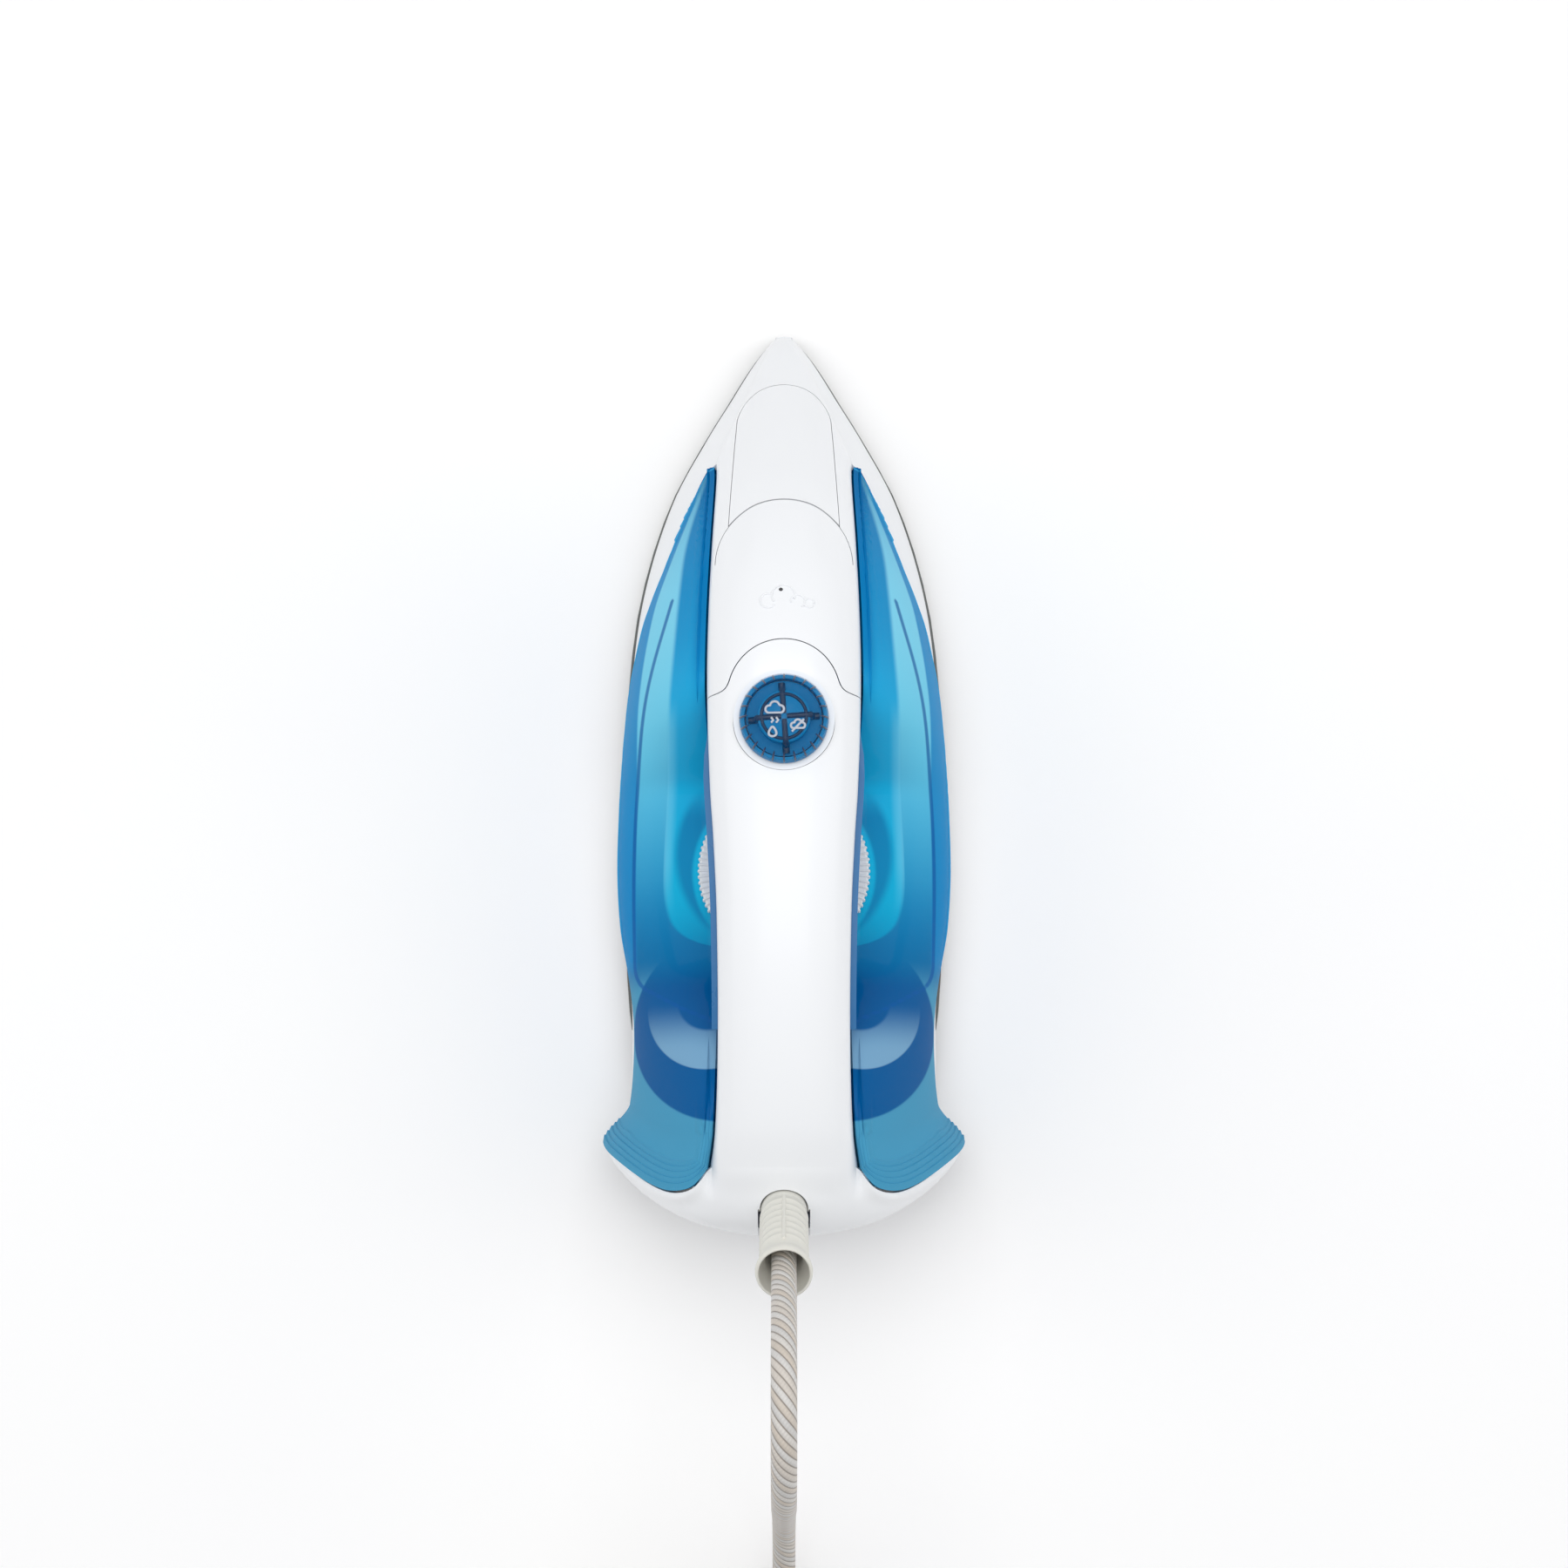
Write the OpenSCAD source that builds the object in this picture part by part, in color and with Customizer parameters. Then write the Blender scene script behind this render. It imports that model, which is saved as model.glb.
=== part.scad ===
// Steam iron with a transparent water tank, built as an assembly of separate parts.
// X is across, +Y runs to the tip of the sole, Z is up, and the sole rests on z = 0.

/* [Sole] */
// Y of the tip of the sole
tip_y = 144; // [144:0.5:145]
// Thickness of the sole sheet
sole_t = 2; // [1.6:0.1:2.2]
// Thickness of the aluminium casting
casting_t = 10; // [9:0.5:10]
// Diameter of a steam hole
steam_hole_d = 2.6; // [2:0.2:3]

/* [Shells] */
// Wall of the white covers
wall = 2.2; // [1.8:0.1:2.4]
// Wall of the transparent tank
tank_wall = 2.4; // [2:0.1:2.6]
// Gap between neighbouring covers
gap = 0.35; // [0.3:0.05:0.5]

/* [Steam dial] */
// Radius of the dome
dial_r = 13.2; // [12.5:0.1:13.4]
// Height of the dome over the handle
dial_h = 12; // [11:0.5:13]
// Number of grip ribs
dial_ribs = 24; // [18:2:30]
// Turn of the dome from dry to full steam
dial_turn = 120; // [90:15:120]

/* [Temperature dial] */
// Radius of the knurled rim
knob_r = 25.8; // [24:0.1:25.8]
// Height of the dial over the saddle
knob_h = 6.5; // [6:0.25:7]
// Number of knurls
knob_knurls = 72; // [60:6:90]

/* [Cord] */
// Diameter of the braided cord
cord_d = 7; // [6.5:0.1:7.2]
// Turns of the stored coil, counted through both layers
coil_turns = 6; // [6, 8]
// Mean diameter of the stored coil
coil_mean_d = 78; // [74:1:84]

/* [Sleeve] */
// Length of the sleeve from its pivot to its mouth
sleeve_len = 48; // [46:1:50]
// Lean of the sleeve from upright
sleeve_lean = 26; // [22:1:30]

/* [Hidden] */
$fn = 48;

// ---- Curves -------------------------------------------------------------------------

function mix(a, b, t) = a + (b - a) * t;
function ramp(a, b, x) = let (t = min(1, max(0, (x - a) / (b - a)))) t * t * (3 - 2 * t);
function span_of(p, x, i = 0) = i >= len(p) - 2 || x < p[i + 1][0] ? i : span_of(p, x, i + 1);
function rise(p, i) =
    let (a = max(0, i - 1), b = min(len(p) - 1, i + 1))
    (p[b][1] - p[a][1]) / (p[b][0] - p[a][0]);
// The smooth curve through the [x, value] pairs of p, at x
function curve(p, x) =
    let (
        i = span_of(p, x),
        h = p[i + 1][0] - p[i][0],
        t = min(1, max(0, (x - p[i][0]) / h)),
        tt = t * t,
        ttt = tt * t
    )
    (2 * ttt - 3 * tt + 1) * p[i][1] + (ttt - 2 * tt + t) * h * rise(p, i)
    + (3 * tt - 2 * ttt) * p[i + 1][1] + (ttt - tt) * h * rise(p, i + 1);
function bezier(a, b, c, d, t) =
    let (s = 1 - t) s * s * s * a + 3 * s * s * t * b + 3 * s * t * t * c + t * t * t * d;

// ---- Rails: how each edge of the body runs along its length --------------------------

// Half width of the sole against the square root of the distance from the tip
sole_rail = [[0, 0], [2.4, 7.6], [4.5, 17], [6, 26.5], [7.5, 37], [9.3, 46], [10.7, 49.6],
    [12, 50.6], [14, 50.2], [14.8, 48.8]];
// Height of the crown of the nose and handle
top_rail = [[-126, 96], [-112, 104], [-90, 111], [-60, 117], [-30, 120], [5, 119.5],
    [25, 116.5], [43, 110], [60, 101], [75, 90], [92, 71], [108, 53], [124, 35], [134, 24],
    [141, 14], [144, 9]];
// Half width and height of the lower edge of the tank
tank_half_rail = [[-115, 49.5], [-107, 48.2], [-96, 46.8], [-80, 46.4], [-64, 48], [-50, 50],
    [-33, 51], [-13, 50.6], [0, 50], [15, 49], [26, 47.8], [35, 46], [47, 43], [62, 37],
    [74, 31.8], [85, 26.6], [92, 22.6]];
tank_low_rail = [[-115, 18], [-64, 20], [-20, 22], [26, 22], [47, 25], [62, 29], [74, 34],
    [85, 40], [92, 47]];
// Half width and height of the line where the tank meets the white crown
crown_half_rail = [[-124, 21.6], [-113, 20], [-88, 19.1], [-52, 19.4], [-30, 20.4],
    [-15, 21.4], [15, 22.4], [36, 22.2], [60, 21.5], [85, 20.8], [92, 21]];
crown_low_rail = [[-124, 84], [-113, 91], [-88, 98], [-52, 103], [-15, 104], [6, 102],
    [36, 94], [60, 80], [85, 54], [92, 47]];
// Height of the tank's shoulder, which drops to a saddle under the finger gap
shoulder_rail = [[-115, 89], [-100, 94], [-88, 89], [-76, 74], [-67, 63], [-61, 60],
    [-35, 60], [-14, 60], [-8, 62.5], [0, 77], [8, 93], [15, 99.5], [24, 98.6], [36, 94],
    [60, 80], [85, 54], [92, 47]];
// How far the shoulder reaches out over the flank
reach_rail = [[-115, 4], [-88, 7], [-67, 14], [-35, 17], [-8, 15], [10, 8], [36, 4], [92, 0.5]];
// How far the flank swells past the straight line
bulge_rail = [[-115, 0], [-80, 1], [-40, 2.2], [0, 2], [40, 0.5], [92, -0.5]];
// Depth of the well between the shoulders
well_rail = [[-115, 24], [-88, 18], [-70, 3], [-62, 0.6], [-14, 0.6], [-6, 2], [4, 14], [14, 24],
    [92, 20]];

heel_y = -145.8;
tank_front_y = 91;
tank_rear_y = -115;
skirt_z = 7;
saddle_z = curve(shoulder_rail, -35);
function sole_half(y) = curve(sole_rail, sqrt(max(0, tip_y - y)));
function skirt_half(y) = max(0.9, sole_half(y) - 1.2);

// ---- Sheets --------------------------------------------------------------------------

function mirrored(row) =
    concat([for (i = [len(row) - 1:-1:0]) [-row[i][0], row[i][1], row[i][2]]],
        [for (i = [1:len(row) - 1]) row[i]]);
function at(g, i, j) = g[min(len(g) - 1, max(0, i))][min(len(g[0]) - 1, max(0, j))];
function unit(v) = v / max(1e-9, norm(v));
// The grid moved by d along its own normals
function inset(g, d) = [for (i = [0:len(g) - 1]) [for (j = [0:len(g[0]) - 1])
    at(g, i, j) + d * unit(cross(at(g, i + 1, j) - at(g, i - 1, j), at(g, i, j + 1) - at(g, i, j - 1)))]];
function quad(a, b, c, d) = [[a, b, c], [a, c, d]];
// A closed solid between two grids of the same size
module between(outer, inner) {
    n = len(outer);
    m = len(outer[0]);
    k = n * m;
    points = concat([for (r = outer) each r], [for (r = inner) each r]);
    skin = [for (i = [0:n - 2], j = [0:m - 2])
        each quad(i * m + j, i * m + j + 1, (i + 1) * m + j + 1, (i + 1) * m + j)];
    lining = [for (f = skin) [f[2] + k, f[1] + k, f[0] + k]];
    ends = [for (j = [0:m - 2], e = [0, n - 1])
        each e == 0 ? quad(j + 1, j, k + j, k + j + 1)
            : quad(e * m + j, e * m + j + 1, k + e * m + j + 1, k + e * m + j)];
    sides = [for (i = [0:n - 2], e = [0, m - 1])
        each e == 0 ? quad(i * m, (i + 1) * m, k + (i + 1) * m, k + i * m)
            : quad((i + 1) * m + e, i * m + e, k + i * m + e, k + (i + 1) * m + e)];
    polyhedron(points = points, faces = concat(skin, lining, ends, sides), convexity = 8);
}

// ---- Body surfaces --------------------------------------------------------------------

// The skirt and the tank spread outwards at the rear
function flare(y) = ramp(-103, -115, y);
// The rear rows of the flank lean back, most of all half way up
function rear_shift(y, t) = ramp(-80, -115, y)
    * (curve([[0, -115], [0.25, -120.5], [0.6, -129], [0.8, -129], [1, -123.5]], t) - tank_rear_y);
function inner_half(y) = curve(crown_half_rail, y + rear_shift(y, 1)) + 0.5;
// Point of the flank, t from the tank's lower edge (0) to its shoulder (1)
function flank(y, t) =
    let (
        w = curve(tank_half_rail, y),
        low = curve(tank_low_rail, y),
        u = inner_half(y),
        high = curve(shoulder_rail, y),
        f = 6.5 * flare(y)
    )
    [
        bezier(w, w + curve(bulge_rail, y), u + curve(reach_rail, y), u, t) + f * (1 - t),
        y + rear_shift(y, t),
        bezier(low, mix(low, high, 0.42), high, high, t) + 0.6 * f * sin(180 * t)
    ];
function nose_half(y) = curve([[92, 21], [108, 15.6], [124, 9.8], [134, 6.2], [141, 2.6]], y);
function nose_low(y) = curve([[92, 47], [108, 35], [124, 23.5], [134, 16.5], [141, 11]], y);
function crown_half(y) = y > 92 ? nose_half(y) : curve(crown_half_rail, y) - 0.2;
function crown_low(y) = y > 92 ? nose_low(y) : curve(crown_low_rail, y);
// Point of the crown, t from its lower edge (0) to the ridge (1)
function crown(y, t) =
    let (low = crown_low(y))
    [crown_half(y) * pow(cos(90 * t), 0.8), y, low + (curve(top_rail, y) - low) * pow(sin(90 * t), 0.8)];
function edge_half(y) = y > 92 ? nose_half(y) : curve(tank_half_rail, y) + 6.5 * flare(y);
function edge_low(y) = y > 92 ? nose_low(y) : curve(tank_low_rail, y);
// Point of the skirt, t from the sole (0) to the tank or the nose (1)
function skirt_point(y, t) =
    let (a = skirt_half(y), b = edge_half(y), top = edge_low(y) - gap, s = 1 - t)
    [
        s * s * a + 2 * s * t * mix(a, b, 0.18) + t * t * b,
        y,
        s * s * skirt_z + 2 * s * t * mix(skirt_z, top, 0.48) + t * t * top
    ];

module crown_sheet(y_front, y_rear, step) {
    around = 7;
    n = ceil((y_front - y_rear) / step);
    rows = [for (i = [0:n]) let (y = mix(y_front, y_rear, i / n))
        mirrored([for (j = [around:-1:0]) crown(y, j / around)])];
    between(rows, inset(rows, -wall));
}

// ---- Sole ------------------------------------------------------------------------------

// Outline of the sole drawn in by d
module sole_outline(d = 0) {
    corner = 22;
    corner_y = -74;
    side_x = 48.8;
    half = concat(
        [for (q = [0:0.6:14.4]) [curve(sole_rail, q), tip_y - q * q]],
        [for (a = [0:15:90]) [side_x - corner + corner * cos(a), corner_y - corner * sin(a)]]
    );
    pulled = [for (p = half) [p[0] * (1 - d / 50), mix(24, p[1], 1 - d / 120)]];
    polygon(concat(pulled, [for (i = [len(pulled) - 1:-1:1]) [-pulled[i][0], pulled[i][1]]]));
}

steam_rows = [for (q = [4.2:0.75:9.5]) tip_y - q * q];
module sole_sheet() {
    color("#9a9da0")
    difference() {
        linear_extrude(sole_t) sole_outline();
        for (y = steam_rows, side = [-1, 1])
            translate([side * (sole_half(y) - 7), y, -1]) cylinder(d = steam_hole_d, h = 4, $fn = 24);
        for (y = [58, 20, -18, -56], x = [-9, 9])
            translate([x, y, -1]) cylinder(d = steam_hole_d, h = 4, $fn = 24);
    }
}

element_r = 4;
element_bend = 24;
element_front = 40;
element_rear = -74;
casting_top = sole_t + casting_t;
module element_path(r) {
    translate([0, element_front, casting_top]) {
        rotate_extrude(angle = 180, $fn = 72) translate([element_bend, 0]) circle(r);
        for (side = [-1, 1])
            translate([side * element_bend, 0, 0]) rotate([90, 0, 0])
                cylinder(r = r, h = element_front - element_rear);
    }
}
module heating_element() {
    color("#8d8f92") element_path(element_r);
}

screw_places = [[0, 84], [-31.5, -30], [31.5, -30]];
module soleplate_casting() {
    color("#b9bcbf")
    difference() {
        translate([0, 0, sole_t]) {
            linear_extrude(skirt_z - sole_t - 0.5) sole_outline(3);
            linear_extrude(casting_t) sole_outline(9);
        }
        element_path(element_r + 0.1);
        for (side = [-1, 1])
            translate([side * element_bend, element_rear + 2, casting_top]) rotate([90, 0, 0])
                cylinder(r = element_r + 0.1, h = 40);
        for (p = screw_places)
            translate([p[0], p[1], sole_t + 3]) cylinder(d = 4.1, h = casting_t, $fn = 24);
    }
}

module element_terminals() {
    color("#c9a45a")
    for (side = [-1, 1])
        translate([side * element_bend, element_rear - 0.1, casting_top]) rotate([90, 0, 0]) {
            cylinder(r = 2.6, h = 5, $fn = 24);
            cylinder(r = 1.2, h = 11, $fn = 24);
        }
}

chamber_r = 18;
module steam_chamber_cover() {
    color("#a7abae")
    translate([0, 0, casting_top + 0.1]) difference() {
        linear_extrude(2) union() {
            translate([0, 36]) circle(chamber_r, $fn = 72);
            translate([-chamber_r, -14]) square([2 * chamber_r, 50]);
        }
        translate([0, dial_y, -1]) cylinder(d = 5, h = 4, $fn = 24);
    }
}

dial_y = 2.2;
knob_y = -35.5;
spindle_r = 3;
module thermostat_base() {
    color("#e8e2d4")
    translate([0, knob_y, casting_top + 0.1]) difference() {
        union() {
            cylinder(r = 9, h = 4);
            cylinder(r = 6, h = 14);
            for (side = [-1, 1])
                translate([side * 11, 0, 0.75]) cube([10, 6, 1.5], center = true);
        }
        translate([0, 0, 8]) cylinder(r = spindle_r + 0.05, h = 10);
    }
}
module thermostat_bimetal() {
    color("#c38b45")
    difference() {
        translate([-4, knob_y + 10, casting_top + 0.1]) cube([8, 9.6, 1.2]);
        translate([0, knob_y + 15, casting_top - 1]) cylinder(r = 1.6, h = 4, $fn = 24);
    }
}
knob_z = saddle_z + 0.6;
module thermostat_spindle() {
    color("#d0d2d4")
    translate([0, knob_y, casting_top + 8.4]) cylinder(r = spindle_r, h = knob_z - casting_top - 8.4);
}
module thermal_fuse() {
    color("#f2efe6")
    translate([-36, 26, casting_top + 2.1]) rotate([90, 0, 0]) {
        cylinder(r = 2, h = 16, $fn = 32);
        translate([0, 0, -4]) cylinder(r = 0.6, h = 24, $fn = 24);
    }
}

shield_z = 18;
module heat_shield() {
    color("#c4c7ca")
    difference() {
        translate([0, 0, shield_z]) linear_extrude(1) sole_outline(14);
        translate([0, knob_y, shield_z - 1]) cylinder(r = 7, h = 4);
        translate([0, dial_y, shield_z - 1]) cylinder(r = 5, h = 4);
        for (p = screw_places)
            translate([p[0], p[1], shield_z - 1]) cylinder(d = 4.4, h = 4, $fn = 24);
    }
}
module sole_screws() {
    color("#d9dbdd")
    for (p = screw_places)
        translate([p[0], p[1], sole_t + 3.2]) {
            cylinder(d = 4, h = shield_z - sole_t - 2, $fn = 24);
            translate([0, 0, shield_z - sole_t - 2.1]) cylinder(d = 7.5, h = 2.6, $fn = 32);
        }
}

// ---- White skirt and nose --------------------------------------------------------------

module skirt() {
    side = [for (i = [0:23]) tip_y - pow(mix(1.4, 15.55, i / 23), 2)];
    right = [for (i = [len(side) - 1:-1:0]) [for (t = [0:0.2:1]) skirt_point(side[i], t)]];
    left = [for (i = [0:len(side) - 1]) [for (t = [0:0.2:1])
        let (p = skirt_point(side[i], t)) [-p[0], p[1], p[2]]]];
    tip = [[for (t = [0:0.2:1]) [0, mix(143.2, 142.6, t), mix(skirt_z, 9.5, t)]]];
    rows = concat(right, tip, left);
    color("#eef1f4") {
        between(rows, inset(rows, -1.8));
        translate([-46.8, -97.4, skirt_z]) cube([93.6, 2, 9]);
    }
}

lid_front_r = 14.5;
lid_front_y = 104.3;
lid_rear_r = 20;
lid_rear_y = 51;
// Ground plan of the filling lid, grown by d
module lid_plan(d = 0) {
    intersection() {
        polygon(concat(
            [for (a = [0:7.5:180]) [(lid_front_r + d) * cos(a), lid_front_y + (lid_front_r + d) * sin(a)]],
            [for (side = [-1, 1]) [side * (1.17 * lid_front_r + d), lid_front_y - 46]]
        ));
        difference() {
            translate([-30, 30]) square([60, 100]);
            translate([0, lid_rear_y]) circle(lid_rear_r + gap - d, $fn = 72);
            translate([-30, 20]) square([60, lid_rear_y - 20]);
        }
    }
}
seam_r = 16;
seam_y = 9.8;
// Ground plan of the steam button
module button_plan() {
    difference() {
        union() {
            translate([0, lid_rear_y]) circle(lid_rear_r, $fn = 72);
            translate([-24, seam_y]) square([48, lid_rear_y - seam_y]);
        }
        translate([0, seam_y]) circle(seam_r + gap, $fn = 72);
    }
}
module upright() {
    linear_extrude(140) children();
}
module nose_cover() {
    color("#eef1f4")
    difference() {
        crown_sheet(141, 56, 4);
        upright() lid_plan(gap);
        upright() union() {
            translate([0, lid_rear_y]) circle(lid_rear_r + gap, $fn = 72);
            translate([-30, 20]) square([60, lid_rear_y - 20]);
        }
    }
}
module fill_lid() {
    color("#f1f4f7")
    intersection() {
        crown_sheet(124, 60, 4);
        upright() lid_plan();
    }
}
module fill_funnel() {
    color("#e4e8ec")
    translate([0, 97, 0]) difference() {
        union() {
            translate([0, 0, 34]) cylinder(r = 8, h = 16);
            translate([0, 0, 48]) cylinder(r = 10, h = 2);
        }
        translate([0, 0, 33]) cylinder(r = 6.4, h = 20);
    }
}

// ---- Tank ------------------------------------------------------------------------------

tank_stations = concat([for (i = [0:9]) mix(tank_front_y, 14, i / 9)],
    [for (y = [10:-4:-14]) y], [for (y = [-22:-10:-52]) y], [for (y = [-60:-5:-100]) y],
    [-104, -107, -110, -112.5, tank_rear_y]);
flank_steps = 9;
function tank_row(y) =
    let (u = inner_half(y), top = curve(shoulder_rail, y), d = curve(well_rail, y),
        back = rear_shift(y, 1))
    mirrored(concat(
        [[0, y + back, top - d], [u * 0.6, y + back, top - d], [u - 0.3, y + back, top - d],
            [u - 0.1, y + back, top - d / 2]],
        [for (j = [flank_steps:-1:0]) flank(y, j / flank_steps)]
    ));
module tank_shell() {
    rows = [for (y = tank_stations) tank_row(y)];
    full = inset(rows, -tank_wall);
    // The wall thins towards the pointed front, where both sides close in
    lining = [for (i = [0:len(rows) - 1]) let (thin = mix(0.25, 1, ramp(tank_front_y, 74, tank_stations[i])))
        [for (j = [0:len(rows[0]) - 1]) mix(rows[i][j], full[i][j], thin)]];
    color("#1f93c9", 0.75)
    difference() {
        between(rows, lining);
        translate([0, knob_y, 40]) cylinder(r = 5, h = 40);
        translate([0, dial_y, 60]) cylinder(r = 4, h = 40);
        translate([0, pump_y, 60]) cylinder(r = 4, h = 40);
    }
}

floor_z = 25;
vessel_rail = [[-60, 42.2], [-32, 43.6], [-5, 43], [20, 39.4], [44, 32], [52, 28]];
module vessel_plan(d = 0) {
    half = concat(
        [for (y = [52:-8:-60]) [curve(vessel_rail, y) - d, y - d * ramp(40, 52, y)]],
        [for (a = [15:15:90]) [vessel_rail[0][1] - 16 + (16 - d) * cos(a), -62 - (16 - d) * sin(a)]]
    );
    polygon(concat(half, [for (i = [len(half) - 1:-1:0]) [-half[i][0], half[i][1]]]));
}
module tank_base() {
    color("#2b7fb5")
    difference() {
        translate([0, 0, floor_z]) linear_extrude(13) vessel_plan();
        translate([0, 0, floor_z + 2]) linear_extrude(20) vessel_plan(1.6);
        translate([0, knob_y, floor_z - 1]) cylinder(r = 7, h = 4);
        translate([0, dial_y, floor_z - 1]) cylinder(r = 4.2, h = 4);
    }
}

seat_r = 7;
rod_r = 2;
drip_slot = 1.2;
// Rubber seat of the drip valve, with a groove that lets water in to the rod on one side
module valve_seat() {
    color("#3a3d40")
    translate([0, dial_y, floor_z + 2.1]) difference() {
        union() {
            cylinder(r = seat_r, h = 2);
            translate([0, 0, -9]) cylinder(r = 4, h = 10);
        }
        translate([0, 0, -10]) cylinder(r = 1, h = 20, $fn = 24);
        translate([0, 0, -1]) cylinder(r = rod_r + 0.05, h = 4);
        translate([0, -drip_slot / 2, 0.6]) cube([seat_r + 1, drip_slot, 3]);
    }
}
rod_top = 88;
rod_foot = floor_z + 1.6;
// Turning rod of the drip valve: a notch at its foot meets the seat's groove when the dial is full open
module valve_rod() {
    color("#e9e6df")
    translate([0, dial_y, 0]) difference() {
        union() {
            translate([0, 0, rod_foot]) cylinder(r = rod_r, h = rod_top - rod_foot);
            translate([0, 0, 60]) cylinder(r = 3.6, h = 1.5);
            translate([-1.5, -0.5, rod_top - 1]) cube([3, 1, 2.6]);
        }
        rotate([0, 0, -dial_turn])
            translate([0, -drip_slot / 2, rod_foot - 1]) cube([rod_r + 1, drip_slot, 3.6]);
    }
}
spring_foot = floor_z + 4.2;
module valve_spring() {
    color("#c9cccf")
    translate([0, dial_y, spring_foot]) coil_spring(3, 0.45, 60 - spring_foot - 0.1, 7);
}
// A round wire wound at radius r
module coil_spring(r, wire, height, turns) {
    n = turns * 14;
    m = 6;
    points = [for (i = [0:n], k = [0:m - 1])
        let (a = 360 * turns * i / n, b = 360 * k / m)
        [(r + wire * cos(b)) * cos(a), (r + wire * cos(b)) * sin(a),
            wire + (height - 2 * wire) * i / n + wire * sin(b)]];
    walls = [for (i = [0:n - 1], k = [0:m - 1])
        each quad(i * m + k, (i + 1) * m + k, (i + 1) * m + (k + 1) % m, i * m + (k + 1) % m)];
    polyhedron(points, concat(walls, [[for (k = [0:m - 1]) k]], [[for (k = [m - 1:-1:0]) n * m + k]]));
}

// ---- Handle ----------------------------------------------------------------------------

collar_r = 14.3;
module handle_cover() {
    color("#eef1f4")
    difference() {
        crown_sheet(32, -123, 5);
        upright() difference() {
            translate([-30, seam_y - gap / 2]) square([60, 40]);
            translate([0, seam_y]) circle(seam_r, $fn = 72);
        }
        translate([0, dial_y, 80]) cylinder(r = collar_r + 0.2, h = 60, $fn = 72);
    }
}
grip_depth = 7;
chin_depth = 13;
grip_stations = concat([for (y = [9:-2.5:-6]) y], [for (y = [-12:-6:-88]) y]);
// Lower shell of the handle, with a chin at its front that closes the finger gap before the dial's shaft
module handle_underside() {
    rows = [for (y = grip_stations)
        let (
            chin = ramp(-10, 2, y),
            u = (crown_half(y) - 0.2) * (1 - 0.08 * chin),
            top = crown_low(y) - gap,
            depth = grip_depth + chin_depth * chin
        )
        mirrored([for (j = [7:-1:0])
            [u * pow(cos(90 * j / 7), 0.8), y, top - depth * pow(sin(90 * j / 7), 0.8)]])];
    color("#2f6f9f")
    difference() {
        between(inset(rows, -2), rows);
        translate([0, dial_y, 70]) cylinder(r = 2.6, h = 18);
        translate([0, dial_y, 86]) cylinder(r = 5.4, h = 20);
    }
}

dial_z = 120.5;
module dial_collar() {
    color("#e6eaee")
    translate([0, dial_y, 0]) difference() {
        translate([0, 0, 112]) cylinder(r = collar_r, h = dial_z - 112.3, $fn = 72);
        translate([0, 0, 114]) cylinder(r = 11, h = 20, $fn = 72);
        translate([0, 0, 100]) cylinder(r = 3.05, h = 30);
    }
}
dial_wall = 1.8;
hub_r = 7.4;
hub_h = 6;
// Profile of a dome of radius r and height h
function dome(r, h) =
    concat([[0, 0], [r, 0], [r, h * sin(12)]], [for (a = [12:6:90]) [r * cos(a), h * sin(a)]]);
module steam_dial() {
    color("#1e6fae", 0.8)
    translate([0, dial_y, dial_z]) difference() {
        union() {
            rotate_extrude($fn = 96) polygon(dome(dial_r - 0.5, dial_h));
            for (i = [0:dial_ribs - 1])
                rotate([0, 0, 360 * i / dial_ribs])
                    translate([dial_r - 2, -0.4, 0]) cube([2, 0.8, 4.5]);
        }
        translate([0, 0, -0.01]) rotate_extrude($fn = 96)
            polygon(dome(dial_r - dial_wall - 0.5, dial_h - dial_wall));
    }
}
module dial_insert() {
    color("#20242a")
    translate([0, dial_y, dial_z + 0.2]) difference() {
        union() {
            cylinder(r = hub_r, h = hub_h);
            cylinder(r = dial_r - 3, h = 1);
            for (a = [0:90:270])
                rotate([0, 0, a]) translate([0, -0.6, 0]) cube([dial_r - 3, 1.2, 1.6]);
        }
        translate([0, 0, -1]) cylinder(r = 2.2, h = 3);
    }
}
// Three marks on the insert: a cloud, a crossed cloud and a droplet
module dial_icons() {
    color("white")
    translate([0, dial_y, dial_z + hub_h + 0.3]) {
        translate([-2.6, 2.4, 0]) for (p = [[-1.4, 0], [1.4, 0], [0, 0.9]])
            translate([p[0], p[1], 0]) cylinder(r = 1.2, h = 0.5, $fn = 24);
        translate([3.9, -2.6, 0]) for (p = [[-1, 0], [1, 0]])
            translate([p[0], p[1], 0]) cylinder(r = 1.1, h = 0.5, $fn = 24);
        translate([-3.2, -4.4, 0]) cylinder(r = 1.1, h = 0.5, $fn = 24);
    }
}
module dial_shaft() {
    color("#d8dadc")
    translate([0, dial_y, rod_top + 0.1]) difference() {
        union() {
            cylinder(r = 3, h = dial_z - rod_top);
            cylinder(r = 5, h = 2);
            cylinder(r = 2.1, h = dial_z - rod_top + 1.1);
        }
        translate([-1.7, -0.65, -1]) cube([3.4, 1.3, 2.8]);
    }
}

// ---- Steam button and pump -------------------------------------------------------------

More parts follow.
